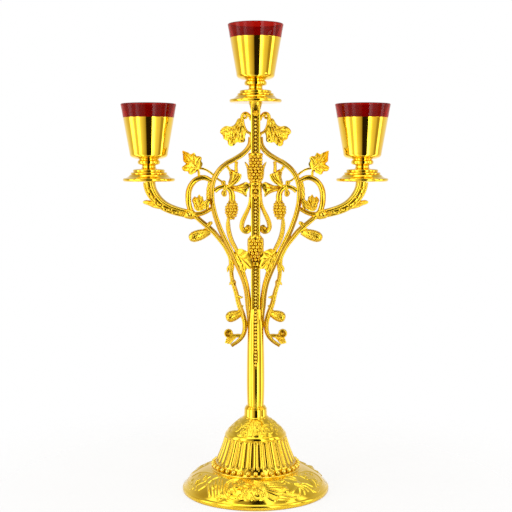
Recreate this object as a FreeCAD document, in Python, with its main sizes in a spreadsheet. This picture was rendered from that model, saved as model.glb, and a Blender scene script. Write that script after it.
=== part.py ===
# Three-light vigil lamp stand in millimetres: +Z up, front towards -Y, origin under the centre of the foot.
import FreeCAD, Part
import math
import os
import Sketcher
from FreeCAD import Placement, Rotation, Vector

doc = FreeCAD.newDocument("vigil_lamp_stand")
sheet = doc.addObject("Spreadsheet::Sheet", "Dims")

SIZES = {
    # foot shell, read from its outline against the white ground
    "foot_radius": 74.0,
    "rim_round": 3.2,
    "rim_height": 5.6,
    "rim_land": 6.0,
    "band_top_radius": 46.0,
    "band_top_height": 23.0,
    "band_bulge": 40.0,
    "bell_foot_radius": 39.6,
    "bell_foot_height": 29.0,
    "bell_top_radius": 30.9,
    "bell_top_height": 56.4,
    "bell_hollow": 90.0,
    "shoulder_edge_inset": 1.5,
    "shoulder_edge_rise": 3.4,
    "shoulder_radius": 13.6,
    "shoulder_bulge": 120.0,
    "foot_height": 74.5,
    "foot_wall": 1.8,
    "flute_count": 36,
    "flute_radius": 1.7,
    "flute_depth": 0.8,
    "bead_ring_radius": 42.4,
    "bead_ring_height": 27.4,
    "bead_radius": 2.15,
    "bead_count": 36,
    "bead_wire": 1.0,
    "motif_ball": 10.4,
    "motif_rise": 0.8,
    "motif_depth": 1.1,
    # clamp stack under the foot
    "clamp_radius": 10.0,
    "clamp_thickness": 3.0,
    "washer_radius": 5.5,
    "washer_thickness": 1.6,
    "foot_nut_flats": 8.0,
    "foot_nut_height": 5.0,
    "rod_radius": 2.5,
    "rod_bore_play": 0.3,
    "rod_tail": 4.0,
    "rod_grip": 14.0,
    # collar and stem
    "collar_radius": 11.6,
    "collar_height": 12.0,
    "collar_step": 1.4,
    "stem_length": 98.5,
    "stem_foot_radius": 8.3,
    "stem_belly_radius": 8.8,
    "stem_belly_height": 26.0,
    "stem_top_radius": 7.8,
    "stem_channel_length": 36.0,
    # square column with beaded channels
    "column_height": 205.0,
    "column_width": 9.5,
    "channel_width": 4.6,
    "channel_depth": 1.4,
    "neck_height": 9.0,
    "neck_radius": 7.0,
    "pearl_radius": 1.45,
    "pearl_pitch": 4.1,
    "pearl_strip": 0.7,
    "pearl_strip_width": 3.6,
    # vine bars
    "lyre_radius": 2.6,
    "vine_radius": 2.4,
    "shoot_radius": 1.9,
    "tendril_radius": 1.1,
    "volute_radius": 2.2,
    # leaves and fruit
    "side_leaf_length": 23.5,
    "top_leaf_length": 25.0,
    "loop_leaf_length": 17.0,
    "lower_leaf_length": 20.0,
    "leaf_thickness": 2.6,
    "petal_length": 16.0,
    "berry_radius": 1.6,
    "grapes_sleeve": 0.3,
    "upper_grapes_height": 28.0,
    "lower_grapes_height": 26.0,
    "side_grapes_radius": 5.6,
    "side_grapes_height": 19.0,
    "bud_length": 18.0,
    "bud_radius": 5.6,
    "lower_bud_length": 15.0,
    "lower_bud_radius": 5.2,
    "lower_flower_radius": 3.8,
    # side arms
    "arm_reach": 106.0,
    "arm_rise": 127.2,
    "arm_root_radius": 4.7,
    "arm_top_radius": 6.6,
    "spigot_radius": 3.0,
    "spigot_play": 0.15,
    "knuckle_radius": 5.2,
    "knuckle_length": 9.0,
    "screw_radius": 1.5,
    "screw_play": 0.1,
    "screw_head_radius": 2.7,
    "screw_head_height": 2.0,
    # drip pan, knop, cup and their stud
    "pan_radius": 26.0,
    "pan_rim": 3.4,
    "pan_height": 12.6,
    "knop_height": 9.4,
    "knop_radius": 11.2,
    "knop_neck_radius": 6.7,
    "cup_height": 41.0,
    "cup_foot_radius": 18.8,
    "cup_mouth_radius": 25.2,
    "cup_shoulder": 4.6,
    "cup_wall": 1.3,
    "stud_radius": 3.0,
    "stud_play": 0.2,
    "stud_sink": 9.0,
    "stud_tail": 5.6,
    "cup_nut_flats": 10.0,
    "cup_nut_height": 4.6,
    # red glass liner
    "glass_band_height": 13.4,
    "glass_mouth_radius": 27.4,
    "glass_wall": 2.4,
    "glass_floor": 3.2,
    "glass_play": 0.4,
    "glass_lift_off_floor": 8.0,
}

# Places on the right half of the openwork: across from the axis, up from the stem's top.
PLACES = {
    "lyre_neck": (4.6, 170.5),
    "lyre_bend": (7.6, 158.6),
    "lyre_brow": (20.2, 149.3),
    "lyre_shoulder": (36.2, 138.2),
    "lyre_side": (43.3, 113.5),
    "lyre_waist": (31.4, 72.8),
    "lyre_tie": (15.0, 36.7),
    "lyre_ankle": (8.2, 17.3),
    "lyre_foot": (7.1, 0.0),
    "scroll_root": (3.6, 188.6),
    "scroll_crown": (10.2, 193.8),
    "scroll_turn": (12.6, 188.0),
    "scroll_end": (3.6, 174.6),
    "volute_root": (3.4, 119.0),
    "volute_neck": (6.2, 101.5),
    "volute_waist": (12.1, 90.5),
    "volute_side": (14.6, 81.6),
    "volute_sole": (10.6, 75.6),
    "volute_toe": (6.4, 78.4),
    "volute_eye": (9.0, 81.6),
    "vine_root": (45.0, 128.4),
    "vine_crown": (54.5, 130.6),
    "vine_shoulder": (64.6, 122.4),
    "vine_side": (66.9, 109.0),
    "vine_corner": (62.6, 94.8),
    "vine_waist": (46.8, 81.1),
    "vine_tie": (32.3, 61.2),
    "vine_knee": (24.9, 44.0),
    "vine_shin": (22.6, 26.0),
    "vine_ankle": (16.6, 4.0),
    "vine_heel": (10.5, -15.6),
    "vine_toe": (14.4, -29.6),
    "vine_tip": (24.6, -38.1),
    "strand_root": (46.3, 125.0),
    "strand_top": (47.6, 119.6),
    "strand_side": (47.9, 110.0),
    "strand_end": (49.4, 99.6),
    "bar_root": (44.7, 99.6),
    "bar_end": (59.8, 95.0),
    "knuckle": (70.6, 95.6),
    "arm_waist": (88.7, 101.9),
    "arm_elbow": (100.9, 112.8),
    "spur_root": (93.0, 103.6),
    "spur_tip": (112.3, 106.7),
    "side_leaf": (57.4, 138.6),
    "side_leaf_stalk": (56.2, 131.0),
    "tendril_middle": (50.4, 138.9),
    "tendril_end": (39.6, 132.6),
    "loop_leaf": (48.6, 98.4),
    "top_leaf": (10.8, 180.2),
    "flower": (31.3, 121.2),
    "flower_stalk": (40.4, 115.2),
    "brow_stub": (20.0, 148.6),
    "brow_stub_end": (20.6, 131.4),
    "hip_stub": (28.8, 144.0),
    "hip_stub_end": (24.2, 131.6),
    "petal_stub": (3.4, 118.8),
    "petal_stub_end": (18.0, 119.4),
    "side_grapes": (23.9, 98.6),
    "shoot_root": (26.4, 92.0),
    "shoot_side": (28.7, 81.0),
    "shoot_waist": (24.4, 69.0),
    "shoot_end": (15.6, 51.5),
    "lower_leaf": (18.6, 57.6),
    "bud": (58.1, 72.4),
    "bud_stalk": (43.0, 77.6),
    "lower_bud": (22.9, -8.0),
    "lower_bud_stalk": (14.0, -1.0),
    "lower_flower": (27.5, -25.5),
    "lower_flower_stalk": (12.8, -29.4),
}
UPPER_GRAPES_TOP = 154.0
LOWER_GRAPES_TOP = 71.6
# The places above hold for a column of this height, and the openwork stretches with the column.
DRAWN_COLUMN_HEIGHT = 205.0


class Size:
    def __init__(self, text, value):
        self.text = text
        self.value = value

    def join(self, other, sign, result):
        other_text = other.text if isinstance(other, Size) else repr(other)
        return Size("(%s %s %s)" % (self.text, sign, other_text), result)

    def __add__(self, other):
        return self.join(other, "+", self.value + number(other))

    def __sub__(self, other):
        return self.join(other, "-", self.value - number(other))

    def __mul__(self, other):
        return self.join(other, "*", self.value * number(other))

    def __truediv__(self, other):
        return self.join(other, "/", self.value / number(other))


def number(size):
    return size.value if isinstance(size, Size) else size


def fill_sheet():
    rows = list(SIZES.items())
    for name, (across, up) in PLACES.items():
        rows.append((name + "_x", across))
        rows.append((name + "_z", up))
    rows.append(("upper_grapes_top", UPPER_GRAPES_TOP))
    rows.append(("lower_grapes_top", LOWER_GRAPES_TOP))
    rows.append(("drawn_column_height", DRAWN_COLUMN_HEIGHT))
    for row, (alias, value) in enumerate(rows, start=1):
        sheet.set("A%d" % row, alias)
        sheet.set("B%d" % row, str(value))
        sheet.setAlias("B%d" % row, alias)
    doc.recompute()


def dim(alias):
    return Size("Dims." + alias, float(sheet.get(alias)))


def bind(item, path, size):
    if isinstance(size, Size):
        item.setExpression(path, size.text)


def origin_plane(body, role):
    return next(f for f in body.Origin.OriginFeatures if f.Role == role)


def new_body(label):
    body = doc.addObject("PartDesign::Body", label)
    body.Label = label
    return body


def arc_centre(start, end, radius):
    chord = end - start
    left = Vector(-chord.y, chord.x, 0).normalize()
    rise = math.sqrt(radius * radius - chord.Length * chord.Length / 4)
    return (start + end) * 0.5 + left * math.copysign(rise, radius)


# Each corner is (across, up) or (across, up, radius): the radius rounds the stretch that arrives
# at the corner, with its centre to the left of the travel where positive.
def outline(body, name, role, corners):
    sketch = body.newObject("Sketcher::SketchObject", name)
    sketch.AttachmentSupport = (origin_plane(body, role), [""])
    sketch.MapMode = "FlatFace"
    points = [Vector(number(c[0]), number(c[1]), 0) for c in corners]
    count = len(corners)
    starts = []
    ends = []
    for i in range(count):
        target = corners[(i + 1) % count]
        start = points[i]
        end = points[(i + 1) % count]
        if len(target) < 3:
            index = sketch.addGeometry(Part.LineSegment(start, end), False)
            starts.append((index, 1))
            ends.append((index, 2))
            continue
        radius = number(target[2])
        centre = arc_centre(start, end, radius)
        first, last = (start, end) if radius > 0 else (end, start)
        angle = [math.atan2(p.y - centre.y, p.x - centre.x) for p in (first, last)]
        circle = Part.Circle(centre, Vector(0, 0, 1), abs(radius))
        index = sketch.addGeometry(Part.ArcOfCircle(circle, angle[0], angle[1]), False)
        starts.append((index, 1) if radius > 0 else (index, 2))
        ends.append((index, 2) if radius > 0 else (index, 1))
        limit = sketch.addConstraint(Sketcher.Constraint("Radius", index, abs(radius)))
        if isinstance(target[2], Size):
            sign = "" if radius > 0 else "-"
            sketch.setExpression("Constraints[%d]" % limit, sign + target[2].text)
    for i in range(count):
        sketch.addConstraint(Sketcher.Constraint("Coincident", *ends[i - 1], *starts[i]))
        for axis, size, kind in ((-2, corners[i][0], "DistanceX"), (-1, corners[i][1], "DistanceY")):
            if abs(number(size)) < 1e-9:
                sketch.addConstraint(Sketcher.Constraint("PointOnObject", *starts[i], axis))
                continue
            limit = sketch.addConstraint(Sketcher.Constraint(kind, *starts[i], number(size)))
            bind(sketch, "Constraints[%d]" % limit, size)
    return sketch


def turned(label, corners):
    body = new_body(label)
    add_turning(body, label + "_profile", corners, "PartDesign::Revolution")
    return body


def add_turning(body, name, corners, kind):
    sketch = outline(body, name, "XZ_Plane", corners)
    doc.recompute()
    turn = body.newObject(kind, name + "_turn")
    turn.Profile = sketch
    turn.ReferenceAxis = (sketch, ["V_Axis"])
    turn.Angle = 360
    return turn


def padded(label, role, corners, length, symmetric=False):
    body = new_body(label)
    sketch = outline(body, label + "_outline", role, corners)
    doc.recompute()
    pad = body.newObject("PartDesign::Pad", label + "_pad")
    pad.Profile = sketch
    pad.SideType = "Symmetric" if symmetric else "One side"
    bind(pad, "Length", length)
    return body


def set_place(item, across, depth, up):
    for axis, size in (("x", across), ("y", depth), ("z", up)):
        if isinstance(size, Size):
            bind(item, "Placement.Base." + axis, size)


# Height of a place on the openwork, carried along with the column's own height.
def level_of(alias):
    stretch = dim("column_height").value / dim("drawn_column_height").value
    return stem_top.value + dim(alias).value * stretch


def spot(name, depth=0.0):
    return Vector(dim(name + "_x").value, depth, level_of(name + "_z"))


def spots(*names):
    return [spot(name) for name in names]


def arc_edge(start, direction, end):
    chord = end - start
    along = Vector(chord).normalize()
    lean = direction - along * direction.dot(along)
    if lean.Length < 1e-4:
        return Part.LineSegment(start, end).toShape()
    angle = math.atan2(lean.Length, direction.dot(along))
    sagitta = chord.Length / 2 * math.tan(angle / 2)
    middle = (start + end) * 0.5 + lean.normalize() * sagitta
    return Part.Arc(start, middle, end).toShape()


def biarc(start, leaving, end, arriving):
    span = end - start
    both = leaving + arriving
    spread = 2 * (1 - leaving.dot(arriving))
    if spread < 1e-6:
        reach = span.dot(span) / (4 * span.dot(arriving))
    else:
        root = math.sqrt(span.dot(both) ** 2 + spread * span.dot(span))
        reach = (root - span.dot(both)) / spread
    joint = (start + end + (leaving - arriving) * reach) * 0.5
    turned_back = biarc_joint_direction(start, leaving, joint)
    return [arc_edge(start, leaving, joint), arc_edge(joint, turned_back, end)]


def biarc_joint_direction(start, direction, end):
    along = Vector(end - start).normalize()
    return along * (2 * direction.dot(along)) - direction


def directions(points):
    chords = [points[i + 1] - points[i] for i in range(len(points) - 1)]
    unit = [Vector(c).normalize() for c in chords]
    inner = []
    for i in range(len(chords) - 1):
        mean = unit[i] * chords[i + 1].Length + unit[i + 1] * chords[i].Length
        inner.append(mean.normalize())
    first = biarc_joint_direction(points[0], inner[0], points[1]) if inner else unit[0]
    last = biarc_joint_direction(points[-2], inner[-1], points[-1]) if inner else unit[0]
    return [first] + inner + [last]


def curve(points):
    lean = directions(points)
    edges = []
    for i in range(len(points) - 1):
        edges += biarc(points[i], lean[i], points[i + 1], lean[i + 1])
    return Part.Wire(edges), lean


# A round bar of one thickness along a curve of tangent arcs.
def bar(name, points, radius):
    path, lean = curve(points)
    end_face = Part.Face(Part.Wire([Part.Circle(points[0], lean[0], radius.value).toShape()]))
    piece = doc.addObject("Part::Feature", name)
    piece.Shape = path.makePipe(end_face)
    return piece


def ring_section(name, place, facing, radius):
    section = doc.addObject("Part::Circle", name)
    bind(section, "Radius", radius)
    section.Placement = Placement(place, Rotation(Vector(0, 0, 1), facing))
    return section


def horn(name, points, radius, end_radius):
    wire, lean = curve(points)
    path = doc.addObject("Part::Feature", name + "_path")
    path.Shape = wire
    sections = [
        ring_section(name + "_root", points[0], lean[0], radius),
        ring_section(name + "_mouth", points[-1], lean[-1], end_radius),
    ]
    doc.recompute()
    sweep = doc.addObject("Part::Sweep", name)
    sweep.Sections = sections
    sweep.Spine = (path, ["Edge%d" % (i + 1) for i in range(len(path.Shape.Edges))])
    sweep.Solid = True
    sweep.Frenet = False
    return sweep


def fused(label, pieces):
    union = doc.addObject("Part::MultiFuse", label)
    union.Shapes = pieces
    union.Label = label
    return union


def trimmed(label, piece, neighbours):
    for step, neighbour in enumerate(neighbours, start=1):
        name = label if step == len(neighbours) else "%s_step%d" % (label, step)
        cut = doc.addObject("Part::Cut", name)
        cut.Base = piece
        cut.Tool = neighbour
        piece = cut
    piece.Label = label
    return piece


def mirrored(label, piece):
    twin = doc.addObject("Part::Mirroring", label)
    twin.Source = piece
    twin.Normal = Vector(1, 0, 0)
    twin.Base = Vector(0, 0, 0)
    twin.Label = label
    return twin


# A bead is a ball with small flats where a drill would enter.
def bead(radius, place, axis, low=-72):
    return Part.makeSphere(radius, place, axis, low, 72, 360)


def ball(name, place, radius):
    item = doc.addObject("Part::Sphere", name)
    bind(item, "Radius", radius)
    item.Angle1 = -72
    item.Angle2 = 72
    item.Placement = Placement(place, Rotation(Vector(0, 0, 1), Vector(0, -1, 0)))
    return item


def pin(name, start, end, radius, end_radius=None):
    length = (end - start).Length
    turn = Rotation(Vector(0, 0, 1), end - start)
    if end_radius is None:
        item = doc.addObject("Part::Cylinder", name)
        bind(item, "Radius", radius)
    else:
        item = doc.addObject("Part::Cone", name)
        bind(item, "Radius1", radius)
        bind(item, "Radius2", end_radius)
    item.Height = length
    item.Placement = Placement(start, turn)
    return item


# A bud: half_length along its axis, radius across it, blunt at both ends.
def egg(name, place, facing, half_length, radius):
    blunt = radius * 0.25
    swell = radius - blunt
    curve_radius = (swell * swell + half_length * half_length) / (swell * 2)
    corners = [
        (0, half_length * -1),
        (blunt, half_length * -1),
        (radius, 0, curve_radius),
        (blunt, half_length, curve_radius),
        (0, half_length),
    ]
    body = turned(name, corners)
    body.Placement = Placement(place, Rotation(Vector(0, 0, 1), facing))
    return body


def hexagon(flats):
    corner = flats * (1 / math.sqrt(3))
    angles = [math.radians(60 * i) for i in range(6)]
    return [(corner * math.cos(a), corner * math.sin(a)) for a in angles]


def nut(label, flats, height, bore):
    body = padded(label, "XY_Plane", hexagon(flats), height)
    corners = [(0, 0), (bore, 0), (bore, height), (0, height)]
    doc.recompute()
    add_turning(body, label + "_bore", corners, "PartDesign::Groove")
    return body


# A faceted core with levels of (up, radius) rings, and its side facets.
def faceted_core(centre, levels, sides):
    rings = []
    for up, radius in levels:
        corners = []
        for i in range(sides):
            angle = 2 * math.pi * (i + 0.5) / sides
            corners.append(centre + Vector(radius * math.cos(angle), radius * math.sin(angle), up))
        rings.append(corners)
    facets = []
    for low, high in zip(rings, rings[1:]):
        for i in range(sides):
            after = (i + 1) % sides
            facets.append(Part.Face(Part.makePolygon([low[i], low[after], high[after], high[i], low[i]])))
    ends = [Part.Face(Part.makePolygon(ring + [ring[0]])) for ring in (rings[0], rings[-1])]
    core = Part.makeSolid(Part.makeShell(facets + ends))
    if core.Volume < 0:
        core.reverse()
    return core, facets


# One berry stands on the middle of each facet.
def grape_cluster(name, core, facets, centre, berry, opening=None):
    fruit = []
    for facet in facets:
        middle = facet.CenterOfMass
        normal = facet.normalAt(0, 0)
        if normal.dot(middle - centre) < 0:
            normal = normal * -1
        fruit.append(bead(berry, middle - normal * (berry * 0.25), normal, -20))
    shape = core.multiFuse(fruit)
    cluster = doc.addObject("Part::Feature", name)
    cluster.Shape = shape.cut(opening) if opening else shape
    return cluster


# Half of a five-lobed vine leaf in shares of its length: across, along.
LEAF_LOBES = [(0.27, -0.08), (0.42, 0.08), (0.36, 0.26), (0.46, 0.52), (0.30, 0.58), (0.24, 0.78)]
# Rings of a hanging cluster in shares of its height and radius: up, across.
SIDE_GRAPES_RINGS = [(-0.5, 0.42), (-0.3, 0.8), (-0.1, 1.0), (0.1, 1.05), (0.3, 0.95), (0.5, 0.5)]
PETAL_LOBES = [(0.20, 0.30), (0.36, 0.62), (0.22, 0.92), (0.08, 0.86)]


def leaf(name, base, facing, length, lobes, width=1.0):
    half = [(length * (x * width), length * z) for x, z in lobes]
    other = [(length * (-x * width), length * z) for x, z in reversed(lobes)]
    corners = [(0, 0)] + half + [(0, length)] + other
    body = padded(name, "XZ_Plane", corners, dim("leaf_thickness"), symmetric=True)
    body.Placement = Placement(base, Rotation(Vector(0, 0, 1), facing))
    return body


def facing_angle(degrees):
    return Vector(math.sin(math.radians(degrees)), 0, math.cos(math.radians(degrees)))


fill_sheet()
foot_top = dim("foot_height")
collar_top = foot_top + dim("collar_height")
stem_top = collar_top + dim("stem_length")
column_top = stem_top + dim("column_height")
arm_top = stem_top + dim("arm_rise") * dim("column_height") / dim("drawn_column_height")
rod_bore = dim("rod_radius") + dim("rod_bore_play")
stud_bore = dim("stud_radius") + dim("stud_play")


# The raised ornaments of the foot, as (degrees round from the front, share of the way up).
BAND_MOTIFS = [(-66, 0.40), (-42, 0.48), (-21, 0.55), (2, 0.40), (27, 0.45), (44, 0.55), (63, 0.40)]
SHOULDER_MOTIFS = [(33, 0.45), (123, 0.45)]


# Each ornament is the cap of a ball that stands out of the turned surface.
def motifs(name, ends, bulge, layout):
    start, end = [Vector(across.value, up.value, 0) for across, up in ends]
    centre = arc_centre(start, end, bulge)
    angles = [math.atan2(p.y - centre.y, p.x - centre.x) for p in (start, end)]
    ball_radius = dim("motif_ball")
    waist = ball_radius - dim("motif_rise") - dim("motif_depth")
    reach = bulge + dim("motif_rise").value - ball_radius.value
    items = []
    for half_turn in (0, 180):
        for bearing, share in layout:
            tilt = angles[0] + (angles[1] - angles[0]) * share
            turn = math.radians(bearing + half_turn)
            out = Vector(math.sin(turn), -math.cos(turn), 0)
            facing = out * math.cos(tilt) + Vector(0, 0, math.sin(tilt))
            level = Vector(0, 0, centre.y + reach * math.sin(tilt))
            middle = out * (centre.x + reach * math.cos(tilt)) + level
            item = doc.addObject("Part::Sphere", "%s_%d" % (name, len(items)))
            bind(item, "Radius", ball_radius)
            item.setExpression("Angle1", "asin(%s)" % (waist / ball_radius).text)
            item.Angle2 = 86
            item.Placement = Placement(middle, Rotation(Vector(0, 0, 1), facing))
            items.append(item)
    return items


def make_foot_shell():
    wall = dim("foot_wall")
    radius = dim("foot_radius")
    rim_inner = radius - dim("rim_land")
    band = (dim("band_top_radius"), dim("band_top_height"))
    bell_foot = (dim("bell_foot_radius"), dim("bell_foot_height"))
    bell_top = (dim("bell_top_radius"), dim("bell_top_height"))
    edge = (bell_top[0] - dim("shoulder_edge_inset"), bell_top[1] + dim("shoulder_edge_rise"))
    seat = dim("bead_radius") + 0.05
    ring = dim("bead_ring_radius")
    level = dim("bead_ring_height")
    outer_lip = (ring + seat * math.cos(math.radians(282)), level + seat * math.sin(math.radians(282)))
    inner_lip = (ring + seat * math.cos(math.radians(188)), level + seat * math.sin(math.radians(188)))
    band_foot = radius - 1.8
    corners = [
        (rim_inner, 0),
        (radius - 1.2, 0),
        (band_foot, dim("rim_height"), dim("rim_round")),
        band + (dim("band_bulge"),),
        outer_lip,
        inner_lip + (seat * -1,),
        bell_foot,
        bell_top + (dim("bell_hollow") * -1,),
        edge,
        (dim("shoulder_radius"), foot_top, dim("shoulder_bulge")),
        (rod_bore, foot_top),
        (rod_bore, foot_top - wall),
        (dim("shoulder_radius") - wall, foot_top - wall),
        (edge[0] - wall, edge[1] - wall, dim("shoulder_bulge") * -1),
        (bell_top[0] - wall, bell_top[1] - wall),
        (bell_foot[0] - wall, bell_foot[1] - wall, dim("bell_hollow")),
        (band[0] - wall, band[1] - wall),
        (band_foot - wall, dim("rim_height") - wall, dim("band_bulge") * -1),
    ]
    plain = turned("foot_blank", corners)
    doc.recompute()
    start = Vector(bell_foot[0].value, bell_foot[1].value, 0)
    end = Vector(bell_top[0].value, bell_top[1].value, 0)
    centre = arc_centre(start, end, -dim("bell_hollow").value)
    flute = dim("flute_radius").value
    reach = dim("bell_hollow").value + dim("flute_depth").value - flute
    angles = [math.atan2(p.y - centre.y, p.x - centre.x) for p in (end, start)]
    sweep = angles[1] % (2 * math.pi) - angles[0] % (2 * math.pi)
    margin = sweep * 0.06
    first = angles[0] + margin
    last = angles[0] + sweep - margin
    points = []
    for angle in (first, (first + last) / 2, last):
        points.append(Vector(centre.x + reach * math.cos(angle), 0, centre.y + reach * math.sin(angle)))
    path = Part.Wire([Part.Arc(*points).toShape()])
    facing = Vector(-math.sin(first), 0, math.cos(first))
    ring_wire = Part.Wire([Part.Circle(points[0], facing, flute).toShape()])
    groove = path.makePipeShell([ring_wire], True, False)
    count = int(dim("flute_count").value)
    flutes = doc.addObject("Part::Feature", "flutes")
    turns = [groove.rotated(Vector(), Vector(0, 0, 1), 360 * i / count) for i in range(count)]
    flutes.Shape = Part.makeCompound(turns)
    band_ends = [(band_foot, dim("rim_height")), band]
    raised = motifs("band_motif", band_ends, dim("band_bulge").value, BAND_MOTIFS)
    shoulder_ends = [edge, (dim("shoulder_radius"), foot_top)]
    raised += motifs("shoulder_motif", shoulder_ends, dim("shoulder_bulge").value, SHOULDER_MOTIFS)
    return trimmed("foot_shell", fused("foot_raised", [plain] + raised), [flutes])


def make_bead_ring():
    ring = dim("bead_ring_radius").value
    level = Vector(0, 0, dim("bead_ring_height").value)
    wire = Part.makeTorus(ring, dim("bead_wire").value, level)
    count = int(dim("bead_count").value)
    beads = []
    for i in range(count):
        angle = 2 * math.pi * i / count
        place = level + Vector(ring * math.cos(angle), ring * math.sin(angle), 0)
        along = Vector(-math.sin(angle), math.cos(angle), 0)
        beads.append(bead(dim("bead_radius").value, place, along))
    piece = doc.addObject("Part::Feature", "foot_bead_ring")
    piece.Shape = wire.multiFuse(beads)
    return piece


def make_clamp_stack():
    ceiling = foot_top - dim("foot_wall")
    plate_under = ceiling - dim("clamp_thickness")
    washer_under = plate_under - dim("washer_thickness")
    nut_under = washer_under - dim("foot_nut_height")
    radius = dim("clamp_radius")
    corners = [(rod_bore, plate_under), (radius, plate_under), (radius, ceiling), (rod_bore, ceiling)]
    plate = turned("clamp_plate", corners)
    radius = dim("washer_radius")
    corners = [(rod_bore, washer_under), (radius, washer_under)]
    corners += [(radius, plate_under), (rod_bore, plate_under)]
    washer = turned("spring_washer", corners)
    foot_nut = nut("foot_nut", dim("foot_nut_flats"), dim("foot_nut_height"), dim("rod_radius"))
    set_place(foot_nut, None, None, nut_under)
    foot = nut_under - dim("rod_tail")
    head = stem_top + dim("rod_grip")
    rod = turned("tie_rod", [(0, foot), (dim("rod_radius"), foot), (dim("rod_radius"), head), (0, head)])
    return [plate, washer, foot_nut, rod]


def make_collar():
    radius = dim("collar_radius")
    step = dim("collar_step")
    corners = [
        (rod_bore, foot_top),
        (radius + step, foot_top),
        (radius, foot_top + step * 1.5),
        (radius, collar_top - step * 2.5),
        (radius + step * 0.2, collar_top - step * 1.5),
        (radius - step, collar_top, step * 1.6),
        (rod_bore, collar_top),
    ]
    return turned("foot_collar", corners)


def make_stem():
    belly = collar_top + dim("stem_belly_height")
    corners = [
        (rod_bore, collar_top),
        (dim("stem_foot_radius"), collar_top),
        (dim("stem_belly_radius"), belly, 700.0),
        (dim("stem_top_radius"), stem_top),
        (rod_bore, stem_top),
    ]
    width = dim("channel_width")
    length = dim("stem_channel_length")
    floor = dim("stem_top_radius") - dim("channel_depth")
    channels = []
    for name, depth in (("stem_front_channel", floor * -1 - width), ("stem_back_channel", floor)):
        channel = doc.addObject("Part::Box", name)
        bind(channel, "Length", width)
        bind(channel, "Width", width)
        bind(channel, "Height", length)
        set_place(channel, width * -0.5, depth, stem_top - length)
        channels.append(channel)
    return trimmed("stem", turned("stem_blank", corners), channels)


def make_column():
    half = dim("column_width") * 0.5
    slot = dim("channel_width") * 0.5
    floor = half - dim("channel_depth")
    corners = [
        (half * -1, half * -1),
        (slot * -1, half * -1),
        (slot * -1, floor * -1),
        (slot, floor * -1),
        (slot, half * -1),
        (half, half * -1),
        (half, half),
        (slot, half),
        (slot, floor),
        (slot * -1, floor),
        (slot * -1, half),
        (half * -1, half),
    ]
    body = padded("column", "XY_Plane", corners, dim("column_height"))
    height = dim("column_height")
    foot = height - dim("neck_height")
    neck = [(0, foot), (half, foot), (dim("neck_radius"), height), (0, height)]
    doc.recompute()
    add_turning(body, "column_neck", neck, "PartDesign::Revolution")
    doc.recompute()
    sink = height - dim("stud_sink")
    bore = dim("stud_radius")
    corners = [(0, sink), (bore, sink), (bore, height), (0, height)]
    add_turning(body, "column_stud_bore", corners, "PartDesign::Groove")
    doc.recompute()
    bore = dim("rod_radius")
    grip = dim("rod_grip")
    add_turning(body, "column_rod_bore", [(0, 0), (bore, 0), (bore, grip), (0, grip)], "PartDesign::Groove")
    set_place(body, None, None, stem_top)
    return body


# Strips of pearls lie on the floor of both channels, between the clusters.
def make_pearl_strips():
    column_floor = dim("column_width").value / 2 - dim("channel_depth").value
    thick = dim("pearl_strip").value
    width = dim("pearl_strip_width").value
    pitch = dim("pearl_pitch").value
    pearl = dim("pearl_radius").value
    base = stem_top.value
    upper_top = level_of("upper_grapes_top")
    lower_top = level_of("lower_grapes_top")
    upper_end = upper_top - dim("upper_grapes_height").value
    lower_end = lower_top - dim("lower_grapes_height").value
    neck = column_top.value - dim("neck_height").value
    stem_floor = dim("stem_top_radius").value - dim("channel_depth").value
    stem_foot = base - dim("stem_channel_length").value
    runs = [
        (upper_top + 0.6, neck - 0.4, column_floor),
        (lower_top + 0.6, upper_end - 0.6, column_floor),
        (base + 0.5, lower_end - 0.6, column_floor),
        (stem_foot + 0.5, base - 0.3, stem_floor),
    ]
    strips = []
    for low, high, floor in runs:
        strip = Part.makeBox(width, thick, high - low, Vector(-width / 2, -floor - thick, low))
        count = int((high - low) / pitch)
        first = (low + high - (count - 1) * pitch) / 2
        pearls = []
        for i in range(count):
            place = Vector(0, -floor - thick, first + i * pitch)
            pearls.append(bead(pearl, place, Vector(0, -1, 0), -10))
        front = strip.multiFuse(pearls)
        strips.append(front)
        strips.append(front.rotated(Vector(), Vector(0, 0, 1), 180))
    piece = doc.addObject("Part::Feature", "pearl_strips")
    piece.Shape = Part.makeCompound(strips)
    return piece


def make_centre_grapes(label):
    name = label.replace("_cluster", "")
    height = dim(name + "_height").value
    centre = Vector(0, 0, level_of(name + "_top") - height / 2)
    half_column = dim("column_width").value / 2
    sleeve = half_column * math.sqrt(2) + dim("grapes_sleeve").value
    berry = dim("berry_radius").value
    sides = int(2 * math.pi * sleeve / (berry * 2.3))
    rows = int(height / (berry * 2.2))
    corner_radius = sleeve / math.cos(math.pi / sides)
    levels = [(height * (row / rows - 0.5), corner_radius) for row in range(rows + 1)]
    core, facets = faceted_core(centre, levels, sides)
    corner = centre - Vector(half_column, half_column, height)
    opening = Part.makeBox(2 * half_column, 2 * half_column, 2 * height, corner)
    return grape_cluster(label, core, facets, centre, berry, opening)


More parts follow.
